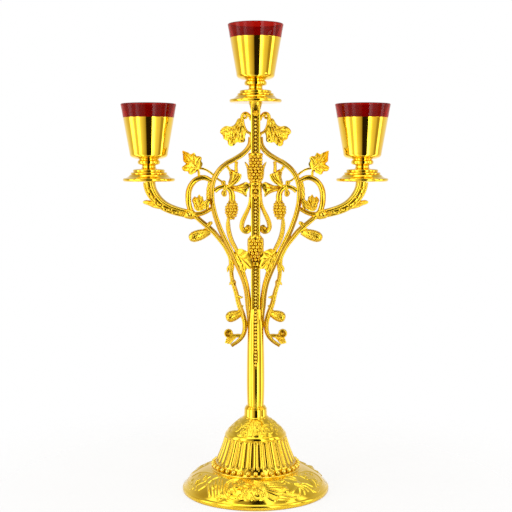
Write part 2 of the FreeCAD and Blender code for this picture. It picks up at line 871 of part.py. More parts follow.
def make_openwork(stem, column, upper_grapes, lower_grapes):
    vine_size = dim("vine_radius")
    thin = dim("shoot_radius")
    fine = dim("tendril_radius")
    pieces = {}

    lyre_path = spots(
        "lyre_neck", "lyre_bend", "lyre_brow", "lyre_shoulder", "lyre_side", "lyre_waist", "lyre_tie",
        "lyre_ankle", "lyre_foot"
    )
    lyre_bar = bar("lyre_bar", lyre_path, dim("lyre_radius"))
    lyre = trimmed("lyre_right", lyre_bar, [stem, column, upper_grapes, lower_grapes])
    pieces["lyre"] = lyre

    volute_path = spots(
        "volute_root", "volute_neck", "volute_waist", "volute_side",
        "volute_sole", "volute_toe", "volute_eye",
    )
    volute_bar = bar("volute_bar", volute_path, dim("volute_radius"))
    volute = trimmed("volute_right", volute_bar, [column, upper_grapes, lower_grapes])
    pieces["volute"] = volute

    vine_path = spots(
        "vine_root", "vine_crown", "vine_shoulder", "vine_side", "vine_corner", "vine_waist", "vine_tie",
        "vine_knee", "vine_shin", "vine_ankle", "vine_heel", "vine_toe", "vine_tip"
    )
    arm_path = [spot("knuckle"), spot("arm_waist"), spot("arm_elbow")]
    arm_path.append(Vector(dim("arm_reach").value, 0, arm_top.value))
    arm_lean = directions(arm_path)[0]
    knuckle_end = spot("knuckle")
    knuckle_root = knuckle_end - arm_lean * dim("knuckle_length").value
    spigot_end = knuckle_root + arm_lean * 1.2
    vine_parts = [
        bar("vine_bar", vine_path, vine_size),
        pin("vine_knuckle", knuckle_root, knuckle_end, dim("knuckle_radius")),
    ]
    socket = pin("vine_socket", spigot_end, knuckle_end, dim("spigot_radius") + dim("spigot_play"))
    screw_place = knuckle_end - arm_lean * (dim("knuckle_length").value * 0.45)
    depth = Vector(0, dim("knuckle_radius").value, 0)
    play = dim("screw_play")
    hole = pin("screw_hole", screw_place - depth * 2, screw_place + depth * 2, dim("screw_radius") + play)
    seat_radius = dim("screw_head_radius") + play
    seat = pin("screw_seat", screw_place - depth * 2, screw_place - depth * 0.82, seat_radius)
    vine = trimmed("vine_right", fused("vine_blank", vine_parts), [socket, hole, seat])
    pieces["vine"] = vine

    strand_parts = [
        bar("strand_bar", spots("strand_root", "strand_top", "strand_side", "strand_end"), thin * 0.8),
        bar("strand_cross", spots("bar_root", "bar_end"), thin),
    ]
    strand = trimmed("loop_strand_right", fused("loop_strand_blank", strand_parts), [vine])
    pieces["loop_strand"] = strand

    arm_bar = horn("arm_bar", arm_path, dim("arm_root_radius"), dim("arm_top_radius"))
    spigot = pin("arm_spigot", spigot_end, knuckle_end + arm_lean * 2, dim("spigot_radius"))
    spur = pin("arm_spur", spot("spur_root"), spot("spur_tip"), dim("arm_root_radius") * 0.8, fine * 0.5)
    arm_end = Vector(dim("arm_reach").value, 0, arm_top.value)
    sink = Vector(0, 0, dim("stud_sink").value)
    stud_hole = pin("arm_stud_hole", arm_end - sink, arm_end, dim("stud_radius"))
    above = doc.addObject("Part::Box", "arm_headroom")
    above.Length = 60
    above.Width = 60
    above.Height = 20
    above.Placement = Placement(arm_end - Vector(30, 30, 0), Rotation())
    arm_blank = fused("arm_blank", [arm_bar, spigot, spur])
    pieces["arm"] = trimmed("arm_right", arm_blank, [hole, stud_hole, above])

    leaf_parts = [
        leaf("side_leaf_blade", spot("side_leaf"), facing_angle(42), dim("side_leaf_length"), LEAF_LOBES),
        bar("side_leaf_stem", spots("side_leaf", "side_leaf_stalk"), fine * 1.3),
        bar("side_leaf_tendril", spots("side_leaf", "tendril_middle", "tendril_end"), fine),
    ]
    pieces["side_leaf"] = trimmed("side_leaf_right", fused("side_leaf_blank", leaf_parts), [vine, lyre])

    lift = thin.value * 0.8 + dim("leaf_thickness").value / 2 - 0.25
    base = spot("loop_leaf", -lift)
    blade = leaf("loop_leaf_blade", base, facing_angle(52), dim("loop_leaf_length"), LEAF_LOBES, 0.8)
    pieces["loop_leaf"] = trimmed("loop_leaf_right", blade, [vine, strand])

    scroll_path = spots("scroll_root", "scroll_crown", "scroll_turn", "scroll_end")
    top_length = dim("top_leaf_length")
    top_parts = [
        bar("top_scroll", scroll_path, fine * 1.4),
        leaf("top_leaf_blade", spot("top_leaf"), facing_angle(106), top_length, LEAF_LOBES),
    ]
    pieces["top_leaf"] = trimmed("top_leaf_right", fused("top_leaf_blank", top_parts), [column, lyre])

    shoot = bar("shoot_right", spots("shoot_root", "shoot_side", "shoot_waist", "shoot_end"), thin)
    pieces["shoot"] = shoot

    flower_parts = [
        leaf("petal_up", spot("flower"), facing_angle(-38), dim("petal_length") * 1.2, PETAL_LOBES),
        leaf("petal_in", spot("flower"), facing_angle(-96), dim("petal_length") * 1.3, PETAL_LOBES),
        leaf("petal_down", spot("flower"), facing_angle(-148), dim("petal_length"), PETAL_LOBES),
        leaf("petal_out", spot("flower"), facing_angle(55), dim("petal_length") * 0.45, PETAL_LOBES),
        leaf("petal_low", spot("flower"), facing_angle(172), dim("petal_length") * 0.55, PETAL_LOBES),
        ball("flower_heart", spot("flower"), thin * 1.4),
        bar("flower_stem", spots("flower", "flower_stalk"), thin * 0.9),
        bar("flower_brow", spots("brow_stub", "brow_stub_end"), fine),
        bar("flower_hip", spots("hip_stub", "hip_stub_end"), fine),
        bar("flower_bridge", spots("petal_stub", "petal_stub_end"), fine),
    ]
    flower_blank = fused("flower_blank", flower_parts)
    flower = trimmed("flower_right", flower_blank, [lyre, column, upper_grapes, volute])
    pieces["flower"] = flower

    berry = dim("berry_radius").value
    height = dim("side_grapes_height").value
    radius = dim("side_grapes_radius").value - berry * 0.75
    levels = [(height * up, radius * across) for up, across in SIDE_GRAPES_RINGS]
    core, facets = faceted_core(spot("side_grapes"), levels, int(2 * math.pi * radius / (berry * 2.2)))
    fruit = grape_cluster("side_grapes_fruit", core, facets, spot("side_grapes"), berry)
    pieces["side_grapes"] = trimmed("side_grapes_right", fruit, [flower, shoot, lyre])

    base = spot("lower_leaf")
    low_blade = leaf("lower_leaf_blade", base, facing_angle(208), dim("lower_leaf_length"), LEAF_LOBES, 0.8)
    pieces["lower_leaf"] = trimmed("lower_leaf_right", low_blade, [lyre, shoot, column, lower_grapes, vine])

    bud_lean = (spot("bud") - spot("bud_stalk")).normalize()
    bud_parts = [
        egg("bud_egg", spot("bud"), bud_lean, dim("bud_length") * 0.5, dim("bud_radius")),
        bar("bud_stem", spots("bud_stalk", "bud"), thin),
    ]
    pieces["bud"] = trimmed("bud_right", fused("bud_blank", bud_parts), [vine])

    low_lean = (spot("lower_bud") - spot("lower_bud_stalk")).normalize()
    low_half = dim("lower_bud_length") * 0.5
    low_parts = [
        egg("lower_bud_egg", spot("lower_bud"), low_lean, low_half, dim("lower_bud_radius")),
        bar("lower_bud_stem", spots("lower_bud_stalk", "lower_bud"), thin),
    ]
    pieces["lower_bud"] = trimmed("lower_bud_right", fused("lower_bud_blank", low_parts), [vine])

    flower_lean = facing_angle(100)
    base = spot("lower_flower") - flower_lean * 3
    low_flower = [
        ball("lower_flower_cup", spot("lower_flower"), dim("lower_flower_radius")),
        bar("lower_flower_stem", spots("lower_flower_stalk", "lower_flower"), thin),
        leaf("lower_flower_leaf", base, facing_angle(150), dim("petal_length") * 0.7, PETAL_LOBES),
    ]
    pieces["lower_flower"] = trimmed("lower_flower_right", fused("lower_flower_blank", low_flower), [vine])

    doc.recompute()
    twins = [mirrored(name + "_left", piece) for name, piece in pieces.items()]
    return list(pieces.values()) + twins, screw_place, depth


def make_arm_screws(place, depth):
    head_under = place - depth * 0.82
    head = dim("screw_head_height").value
    radius = dim("screw_head_radius").value
    cap = (radius * radius + head * head) / (2 * head)
    dome = Part.makeSphere(cap, head_under + Vector(0, cap - head, 0))
    keep = Part.makeCylinder(radius, head, head_under - Vector(0, head, 0), Vector(0, 1, 0))
    shank = Part.makeCylinder(dim("screw_radius").value, depth.y * 1.7, head_under, Vector(0, 1, 0))
    screw = dome.common(keep).fuse(shank)
    piece = doc.addObject("Part::Feature", "arm_screws")
    piece.Shape = Part.makeCompound([screw, screw.mirror(Vector(), Vector(1, 0, 0))])
    return piece


def make_pan(label):
    radius = dim("pan_radius")
    height = dim("pan_height")
    rim = dim("pan_rim")
    corners = [
        (stud_bore, 0),
        (radius - 1.6, 0),
        (radius - 0.8, rim, 2.1),
        (radius * 0.84, height * 0.48),
        (radius * 0.80, height * 0.62),
        (radius * 0.67, height * 0.66),
        (radius * 0.63, height * 0.80),
        (radius * 0.54, height * 0.83),
        (radius * 0.50, height * 0.95),
        (radius * 0.36, height),
        (stud_bore, height),
    ]
    return turned(label, corners)


def make_knop(label):
    height = dim("knop_height")
    radius = dim("knop_radius")
    neck = dim("knop_neck_radius")
    corners = [
        (stud_bore, 0),
        (neck + 1.8, 0),
        (neck, height * 0.22, -4.0),
        (neck + 0.5, height * 0.38),
        (radius - 1.6, height * 0.42),
        (radius - 1.6, height * 0.94, height * 0.30),
        (neck + 2.0, height),
        (stud_bore, height),
    ]
    return turned(label, corners)


def make_cup(label):
    wall = dim("cup_wall")
    foot = dim("cup_foot_radius")
    mouth = dim("cup_mouth_radius")
    height = dim("cup_height")
    shoulder = dim("cup_shoulder")
    corners = [
        (stud_bore, 0),
        (foot - shoulder * 1.5, 0),
        (foot, shoulder, shoulder * 1.7),
        (mouth, height),
        (mouth - wall, height),
        (foot - wall, shoulder + wall * 0.4),
        (foot - shoulder * 1.5, wall, shoulder * -1.6),
        (stud_bore, wall),
    ]
    return turned(label, corners)


def make_glass(label):
    foot = dim("cup_foot_radius")
    rise = dim("cup_height").value - dim("cup_shoulder").value
    slope = (dim("cup_mouth_radius").value - foot.value) / rise
    mouth = dim("glass_mouth_radius")
    band = dim("glass_band_height")
    wall = dim("glass_wall")
    height = dim("cup_height")
    under = dim("glass_lift_off_floor")
    seat_outer = dim("cup_mouth_radius")
    body_top = seat_outer - dim("cup_wall") - dim("glass_play")
    drop = height - under
    body_foot = body_top - drop * slope
    floor = under + dim("glass_floor")
    corners = [
        (0, under),
        (body_foot - 4.0, under),
        (body_foot + 0.2, under + 4.0, 5.0),
        (body_top, height),
        (seat_outer, height),
        (mouth, height + band - 1.2),
        (mouth - wall * 0.8, height + band - 0.6, 1.2),
        (body_top - wall, height + 1.0),
        (body_foot - wall, floor + 2.4),
        (body_foot - wall - 3.4, floor, -4.0),
        (0, floor),
    ]
    return turned(label, corners)


def make_studs(lights):
    reach = sum(dim(alias).value for alias in ("pan_height", "knop_height", "cup_wall", "stud_tail"))
    sink = dim("stud_sink").value
    rods = []
    for across, up in lights:
        start = Vector(number(across), 0, up.value - sink)
        rods.append(Part.makeCylinder(dim("stud_radius").value, reach + sink, start))
    piece = doc.addObject("Part::Feature", "cup_studs")
    piece.Shape = Part.makeCompound(rods)
    return piece


def make_cup_nuts(lights):
    lift = dim("pan_height").value + dim("knop_height").value + dim("cup_wall").value
    model = nut("cup_nut", dim("cup_nut_flats"), dim("cup_nut_height"), dim("stud_radius"))
    doc.recompute()
    nuts = []
    for across, up in lights:
        nuts.append(model.Shape.translated(Vector(number(across), 0, up.value + lift)))
    piece = doc.addObject("Part::Feature", "cup_nuts")
    piece.Shape = Part.makeCompound(nuts)
    return piece


def make_lights(lights):
    pieces = []
    for side, (across, up) in zip(("left", "centre", "right"), lights):
        knop_foot = up + dim("pan_height")
        cup_foot = knop_foot + dim("knop_height")
        for made, level in (
            (make_pan("drip_pan_" + side), up),
            (make_knop("cup_knop_" + side), knop_foot),
            (make_cup("cup_" + side), cup_foot),
            (make_glass("glass_" + side), cup_foot),
        ):
            set_place(made, across, None, level)
            pieces.append(made)
    return pieces


def check_and_write(pieces):
    doc.recompute()
    for item in doc.Objects:
        if "Invalid" in item.State or "Error" in item.State:
            raise RuntimeError("%s is in error" % item.Label)
    os.makedirs("parts", exist_ok=True)
    for piece in pieces:
        shape = piece.Shape
        if shape.isNull() or not shape.isValid() or not shape.Solids:
            raise RuntimeError("%s has no valid solid" % piece.Label)
        shape.exportStep("parts/%s.step" % piece.Label)
        print(piece.Label, len(shape.Solids), "solids", round(shape.Volume), "mm3")


foot_parts = [make_foot_shell(), make_bead_ring(), make_collar()] + make_clamp_stack()
stem_part = make_stem()
column_part = make_column()
doc.recompute()
upper_part = make_centre_grapes("upper_grapes_cluster")
lower_part = make_centre_grapes("lower_grapes_cluster")
openwork, screw_spot, screw_depth = make_openwork(stem_part, column_part, upper_part, lower_part)
reach_right = dim("arm_reach")
lights_at = [(reach_right * -1, arm_top), (None, column_top), (reach_right, arm_top)]
light_parts = make_lights(lights_at)
stud_lights = [(-reach_right.value, arm_top), (0.0, column_top), (reach_right.value, arm_top)]
fixings = [make_studs(stud_lights), make_cup_nuts(stud_lights), make_arm_screws(screw_spot, screw_depth)]
frame_parts = [stem_part, column_part, make_pearl_strips(), upper_part, lower_part]
check_and_write(foot_parts + frame_parts + openwork + fixings + light_parts)
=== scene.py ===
import math
import bmesh
import bpy
import numpy as np
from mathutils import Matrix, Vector


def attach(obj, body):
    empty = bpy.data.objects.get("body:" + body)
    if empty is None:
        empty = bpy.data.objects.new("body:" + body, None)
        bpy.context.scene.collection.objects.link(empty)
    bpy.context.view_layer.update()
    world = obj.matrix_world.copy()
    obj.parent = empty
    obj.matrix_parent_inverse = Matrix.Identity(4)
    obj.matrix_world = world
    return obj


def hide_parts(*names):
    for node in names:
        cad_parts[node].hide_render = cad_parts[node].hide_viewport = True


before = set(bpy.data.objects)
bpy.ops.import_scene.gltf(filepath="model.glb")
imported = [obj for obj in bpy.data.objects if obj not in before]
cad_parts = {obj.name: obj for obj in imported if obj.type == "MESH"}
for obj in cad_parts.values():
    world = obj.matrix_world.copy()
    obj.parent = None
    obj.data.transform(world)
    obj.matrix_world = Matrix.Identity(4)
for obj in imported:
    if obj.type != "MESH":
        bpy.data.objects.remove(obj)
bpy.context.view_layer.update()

scene = bpy.context.scene
scene.view_settings.view_transform = "Standard"
mm = 0.001
print("stage: frame loaded,", len(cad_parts), "nodes")


# node helpers
def addNode(tree, kind, **settings):
    node = tree.nodes.new(kind)
    for key, value in settings.items():
        if key in node.inputs:
            node.inputs[key].default_value = value
        else:
            setattr(node, key, value)
    return node


def wire(tree, *pairs):
    for source, target in pairs:
        tree.links.new(source, target)


def mathNode(tree, operation, *values):
    node = addNode(tree, "ShaderNodeMath", operation=operation)
    for socket, value in zip(node.inputs, values):
        if isinstance(value, bpy.types.NodeSocket):
            tree.links.new(value, socket)
        else:
            socket.default_value = value
    return node.outputs[0]


def remap(tree, source, low, high, start=0.0, end=1.0, kind="LINEAR"):
    node = addNode(tree, "ShaderNodeMapRange", interpolation_type=kind)
    for socket, value in (("From Min", start), ("From Max", end), ("To Min", low), ("To Max", high)):
        node.inputs[socket].default_value = value
    tree.links.new(source, node.inputs["Value"])
    return node.outputs["Result"]


def blend(tree, factor, first, second):
    mix = addNode(tree, "ShaderNodeMix", data_type="RGBA")
    for socket, value in (("Factor", factor), ("A", first), ("B", second)):
        if isinstance(value, tuple):
            mix.inputs[socket].default_value = (*value, 1)
        else:
            tree.links.new(value, mix.inputs[socket])
    return mix.outputs["Result"]


def noise(tree, place, scale, detail):
    node = addNode(tree, "ShaderNodeTexNoise", Scale=scale, Detail=detail)
    tree.links.new(place, node.inputs["Vector"])
    return node.outputs["Fac"]


# finishes: cloud and grain are (scale, detail), bump is (strength, metres), drift and roughness are (low, high)
def newMaterial(name):
    material = bpy.data.materials.new(name)
    material.use_nodes = True
    tree = material.node_tree
    return material, tree, tree.nodes["Principled BSDF"]


def makeFinish(name, look):
    material, tree, surface = newMaterial(name)
    place = addNode(tree, "ShaderNodeTexCoord").outputs["Object"]
    cloud = noise(tree, place, *look["cloud"])  # slow drift of the plating, or uneven melt
    grain = noise(tree, place, *look["grain"]) if "grain" in look else cloud
    drift = remap(tree, cloud, *look["drift"]) if "drift" in look else cloud
    colour = blend(tree, drift, look["deep"], look["bright"])
    # where the hollow attribute is high the colour turns darker: painted shade in grooves, recesses and sunk grounds
    if "paintedShade" in look:
        hollow = addNode(tree, "ShaderNodeAttribute", attribute_name="hollow")  # 1 in grooves and sunk grounds
        colour = blend(tree, hollow.outputs["Fac"], colour, look["paintedShade"])
    relief = grain
    if "rings" in look:  # fine marks of turning
        wave = addNode(tree, "ShaderNodeTexWave", bands_direction="Z", **look["rings"])
        tree.links.new(place, wave.inputs["Vector"])
        relief = wave.outputs["Fac"]
    bump = addNode(tree, "ShaderNodeBump", Strength=look["bump"][0], Distance=look["bump"][1])
    wire(
        tree,
        (colour, surface.inputs["Base Color"]), (remap(tree, grain, *look["roughness"]), surface.inputs["Roughness"]),
        (relief, bump.inputs["Height"]), (bump.outputs["Normal"], surface.inputs["Normal"]),
    )
    for socket, value in look["surface"].items():
        surface.inputs[socket].default_value = value
    return material


# the darker recess colour below is painted shade
goldLook = {
    "drift": (-0.6, 1.6), "paintedShade": (0.30, 0.13, 0.006),
    "surface": {"Metallic": 1.0, "Coat Weight": 0.4, "Coat Roughness": 0.05},
}
turnedGold = makeFinish("turnedGold", dict(
    goldLook, deep=(0.87, 0.56, 0.016), bright=(0.95, 0.69, 0.04), cloud=(30.0, 3.0), grain=(420.0, 4.0),
    roughness=(0.04, 0.10), bump=(0.006, 0.0002), rings={"Scale": 500.0, "Distortion": 0.4},
))
chasedGold = makeFinish("chasedGold", dict(
    goldLook, deep=(0.90, 0.58, 0.014), bright=(0.97, 0.71, 0.04), cloud=(30.0, 3.0), grain=(500.0, 4.0),
    roughness=(0.08, 0.14), bump=(0.015, 0.0003),
))
castGold = makeFinish("castGold", dict(
    goldLook, deep=(0.74, 0.45, 0.012), bright=(0.86, 0.60, 0.03), paintedShade=(0.22, 0.09, 0.004), cloud=(60.0, 3.0),
    grain=(700.0, 4.0), roughness=(0.18, 0.28), bump=(0.03, 0.0003),
))
# paler than the other golds: a painted highlight for the beads, pearls and screws
beadGold = makeFinish("beadGold", dict(
    goldLook, deep=(0.93, 0.64, 0.05), bright=(0.98, 0.76, 0.10), cloud=(80.0, 3.0), grain=(600.0, 4.0),
    roughness=(0.22, 0.32), bump=(0.04, 0.0003),
))
plainSteel = makeFinish("plainSteel", {
    "deep": (0.42, 0.42, 0.43), "bright": (0.62, 0.62, 0.63), "cloud": (380.0, 5.0), "roughness": (0.25, 0.5),
    "bump": (0.15, 0.0003), "surface": {"Metallic": 1.0},
})
redGlass = makeFinish("redGlass", {
    "deep": (0.29, 0.002, 0.001), "bright": (0.50, 0.010, 0.004), "cloud": (55.0, 2.0), "roughness": (0.0, 0.02),
    "bump": (0.03, 0.0005), "surface": {"Transmission Weight": 0.88, "IOR": 1.08, "Coat Weight": 0.28},
})


# shapes are (points in mm, faces, hollow) until a piece is made of them
def joinShapes(shapes):
    points, faces, hollow, start = [], [], [], 0
    for shapePoints, shapeFaces, shapeHollow in shapes:
        points.append(np.asarray(shapePoints, float))
        hollow.append(np.asarray(shapeHollow, float))
        faces += [tuple(int(i) + start for i in face) for face in shapeFaces]
        start += len(shapePoints)
    return np.vstack(points), faces, np.concatenate(hollow)


def mirrorShape(shape):
    points, faces, hollow = shape
    return points * np.array([-1, 1, 1]), [tuple(reversed(f)) for f in faces], hollow


def moveShape(shape, offset):
    return shape[0] + np.array(offset), shape[1], shape[2]


def makePiece(name, shapes, material, nodes, body="stand", sharp=38):
    points, faces, hollow = joinShapes(shapes)
    mesh = bpy.data.meshes.new(name)
    mesh.from_pydata((points * mm).tolist(), [], faces)
    bm = bmesh.new()
    bm.from_mesh(mesh)
    bmesh.ops.recalc_face_normals(bm, faces=bm.faces)
    bm.to_mesh(mesh)
    bm.free()
    sunk = mesh.attributes.new("hollow", "FLOAT", "POINT")
    sunk.data.foreach_set("value", np.clip(hollow, 0, 1).astype(np.float32))
    mesh.materials.append(material)
    mesh.shade_smooth()
    mesh.set_sharp_from_angle(angle=math.radians(sharp))
    piece = bpy.data.objects.new(name, mesh)
    scene.collection.objects.link(piece)
    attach(piece, body)
    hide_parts(*nodes)


def makePair(name, node, shapes):  # a casting of the right half and its mirror image
    makePiece(name + "_right", shapes, castGold, [node + "_right"])
    makePiece(name + "_left", [mirrorShape(s) for s in shapes], castGold, [node + "_left"])


def gridFaces(rows, columns, loop=False):
    faces = []
    for row in range(rows if loop else rows - 1):
        here, above = row * columns, (row + 1) % rows * columns
        for column in range(columns):
            after = (column + 1) % columns
            faces.append((here + column, here + after, above + after, above + column))
    return faces


def tubeFaces(rows, columns):  # small flat ends close the form
    last = (rows - 1) * columns
    return gridFaces(rows, columns) + [tuple(range(columns)), tuple(last + i for i in reversed(range(columns)))]


def lathe(profile, segments, loop=False, centre=(0, 0)):
    profile = np.asarray(profile, float)
    angles = np.arange(segments) * 2 * math.pi / segments
    radii, heights = profile[:, :1], profile[:, 1:] + centre[1] + 0 * angles
    points = np.stack([radii * np.cos(angles) + centre[0], radii * np.sin(angles), heights], 2).reshape(-1, 3)
    faces = gridFaces(len(profile), segments, True) if loop else tubeFaces(len(profile), segments)
    return points, faces, np.zeros(len(points))


def arcPoints(start, end, bulge, count):
    start, end = np.array(start, float), np.array(end, float)
    if abs(bulge) < 1e-6:
        return [tuple(start + (end - start) * i / count) for i in range(1, count + 1)]
    chord = np.linalg.norm(end - start)
    radius = (chord * chord / 4 + bulge * bulge) / (2 * bulge)
    left = np.array([-(end - start)[1], (end - start)[0]]) / chord
    centre = (start + end) / 2 + left * (bulge - radius)
    first = math.atan2(*(start - centre)[::-1])
    sweep = (math.atan2(*(end - centre)[::-1]) - first + math.pi) % (2 * math.pi) - math.pi
    size = abs(radius)
    angles = [first + sweep * i / count for i in range(1, count + 1)]
    return [(centre[0] + size * math.cos(a), centre[1] + size * math.sin(a)) for a in angles]


# runs are (radius, height, bulge to the left of travel, steps)
def turnedProfile(start, runs):
    profile = [start]
    for radius, height, bulge, steps in runs:
        profile += arcPoints(profile[-1], (radius, height), bulge, steps)
    return profile


def turned(start, runs, segments, loop=False, centre=(0, 0)):
    return lathe(turnedProfile(start, runs), segments, loop, centre)


# node trees for what repeats or follows a path
socketKinds = {float: "NodeSocketFloat", int: "NodeSocketInt", type(None): "NodeSocketMaterial"}


def newTree(name, sockets):
    tree = bpy.data.node_groups.new(name, "GeometryNodeTree")
    tree.interface.new_socket("Geometry", in_out="INPUT", socket_type="NodeSocketGeometry")
    for label, value in sockets.items():
        socket = tree.interface.new_socket(label, in_out="INPUT", socket_type=socketKinds[type(value)])
        if value is not None:
            socket.default_value = value
    tree.interface.new_socket("Geometry", in_out="OUTPUT", socket_type="NodeSocketGeometry")
    return tree, tree.nodes.new("NodeGroupInput").outputs


def endTree(tree, source, material):
    realize = tree.nodes.new("GeometryNodeRealizeInstances")
    paint = tree.nodes.new("GeometryNodeSetMaterial")
    result = tree.nodes.new("NodeGroupOutput")
    wire(
        tree,
        (source, realize.inputs["Geometry"]), (realize.outputs["Geometry"], paint.inputs["Geometry"]),
        (material, paint.inputs["Material"]), (paint.outputs["Geometry"], result.inputs["Geometry"]),
    )
    return tree


def ribbedBarTree():
    tree, given = newTree("ribbedBar", {
        "Step": 0.0008, "Sides": 20, "Ribs": 4.0, "Rib Depth": 0.12, "Turns per Metre": 0.0, "Roll": 0.0,
        "Material": None,
    })
    resample = addNode(tree, "GeometryNodeResampleCurve", mode="LENGTH")
    along = tree.nodes.new("GeometryNodeSplineParameter")
    tilt = tree.nodes.new("GeometryNodeSetCurveTilt")
    circle = addNode(tree, "GeometryNodeCurvePrimitiveCircle", Radius=1.0)
    around = tree.nodes.new("GeometryNodeSplineParameter")
    swing = mathNode(tree, "MULTIPLY", around.outputs["Factor"], 2 * math.pi)
    wave = mathNode(tree, "COSINE", mathNode(tree, "MULTIPLY", swing, given["Ribs"]))
    dip = mathNode(tree, "MULTIPLY", mathNode(tree, "MULTIPLY_ADD", wave, -0.5, 0.5), given["Rib Depth"])
    keep = mathNode(tree, "SUBTRACT", 1.0, dip)
    place = tree.nodes.new("GeometryNodeInputPosition")
    scaled = addNode(tree, "ShaderNodeVectorMath", operation="SCALE")
    section = tree.nodes.new("GeometryNodeSetPosition")
    thick = tree.nodes.new("GeometryNodeInputRadius")
    sweep = tree.nodes.new("GeometryNodeCurveToMesh")
    sweep.inputs["Fill Caps"].default_value = True
    twist = mathNode(tree, "MULTIPLY", given["Turns per Metre"], 2 * math.pi)
    twist = mathNode(tree, "MULTIPLY", along.outputs["Length"], twist)
    twist = mathNode(tree, "ADD", twist, given["Roll"])
    wire(
        tree,
        (given["Geometry"], resample.inputs["Curve"]), (given["Step"], resample.inputs["Length"]),
        (resample.outputs["Curve"], tilt.inputs["Curve"]), (twist, tilt.inputs["Tilt"]),
        (given["Sides"], circle.inputs["Resolution"]), (circle.outputs["Curve"], section.inputs["Geometry"]),
        (place.outputs["Position"], scaled.inputs[0]), (keep, scaled.inputs["Scale"]),
        (scaled.outputs["Vector"], section.inputs["Position"]), (tilt.outputs["Curve"], sweep.inputs["Curve"]),
        (section.outputs["Geometry"], sweep.inputs["Profile Curve"]), (thick.outputs["Radius"], sweep.inputs["Scale"]),
    )
    return endTree(tree, sweep.outputs["Mesh"], given["Material"])


def berryTree():
    tree, given = newTree("berries", {
        "Berry Radius": 0.0016, "Roundness": 2, "Unevenness": 0.1, "Seed": 3, "Material": None,
    })
    ball = tree.nodes.new("GeometryNodeMeshIcoSphere")
    chance = addNode(tree, "FunctionNodeRandomValue", data_type="FLOAT")
    scatter = tree.nodes.new("GeometryNodeInstanceOnPoints")
    low = mathNode(tree, "SUBTRACT", 1.0, given["Unevenness"])
    high = mathNode(tree, "ADD", 1.0, given["Unevenness"])
    wire(
        tree,
        (given["Berry Radius"], ball.inputs["Radius"]), (given["Roundness"], ball.inputs["Subdivisions"]),
        (low, chance.inputs[2]), (high, chance.inputs[3]), (given["Seed"], chance.inputs["Seed"]),
        (given["Geometry"], scatter.inputs["Points"]), (ball.outputs["Mesh"], scatter.inputs["Instance"]),
        (chance.outputs[1], scatter.inputs["Scale"]),
    )
    return endTree(tree, scatter.outputs["Instances"], given["Material"])


def runTree(host, tree, values):
    scene.collection.objects.link(host)
    modifier = host.modifiers.new(tree.name, "NODES")
    modifier.node_group = tree
    for item in tree.interface.items_tree:
        if item.in_out == "INPUT" and item.name in values:
            modifier[item.identifier] = values[item.name]
    graph = bpy.context.evaluated_depsgraph_get()
    mesh = bpy.data.meshes.new_from_object(host.evaluated_get(graph), depsgraph=graph)
    host.modifiers.remove(modifier)
    points = np.array([v.co for v in mesh.vertices], float).reshape(-1, 3) / mm
    faces = [tuple(p.vertices) for p in mesh.polygons]
    bpy.data.meshes.remove(mesh)
    bpy.data.objects.remove(host)
    return points, faces, np.zeros(len(points))


barTree = ribbedBarTree()
fruitTree = berryTree()


# each path is a list of (across, up, radius) or (across, up, radius, depth); turns are per metre
barLook = {"curveSteps": 16, "grooveEdge": 2.5}
vineRibs = {"ribs": 3.0, "depth": 0.2, "sides": 28, "roll": 0.62, "groove": 0.9}
stalkRibs = {"ribs": 3.0, "depth": 0.12, "sides": 14}
berrySeed = 7


def bars(paths, ribs=4.0, depth=0.12, sides=20, turns=0.0, step=0.8, roll=0.0, groove=0.0):
    curve = bpy.data.curves.new("barPath", "CURVE")
    curve.dimensions = "3D"
    curve.resolution_u = barLook["curveSteps"]
    for path in paths:
        spline = curve.splines.new("BEZIER")
        spline.bezier_points.add(len(path) - 1)
        for knot, spot in zip(spline.bezier_points, path):
            knot.co = Vector((spot[0], spot[3] if len(spot) > 3 else 0.0, spot[1])) * mm
            knot.handle_left_type = knot.handle_right_type = "AUTO"
            knot.radius = spot[2] * mm
    points, faces = runTree(bpy.data.objects.new("barPath", curve), barTree, {
        "Step": step * mm, "Sides": sides, "Ribs": ribs, "Rib Depth": depth, "Turns per Metre": turns, "Roll": roll,
        "Material": castGold,
    })[:2]
    around = np.arange(len(points)) % sides * 2 * math.pi / sides
    # painted shade along the grooves of the bars
    dark = (0.5 - 0.5 * np.cos(around * ribs)) ** barLook["grooveEdge"]  # darker along the grooves
    return points, faces, groove * dark


def berries(spots, radius, unevenness=0.08, roundness=2, material=castGold):
    mesh = bpy.data.meshes.new("berrySpots")
    mesh.from_pydata((np.asarray(spots, float) * mm).tolist(), [], [])
    return runTree(bpy.data.objects.new("berrySpots", mesh), fruitTree, {
        "Berry Radius": radius * mm, "Roundness": roundness, "Unevenness": unevenness, "Seed": berrySeed,
        "Material": material,
    })


print("stage: finishes and node trees ready")
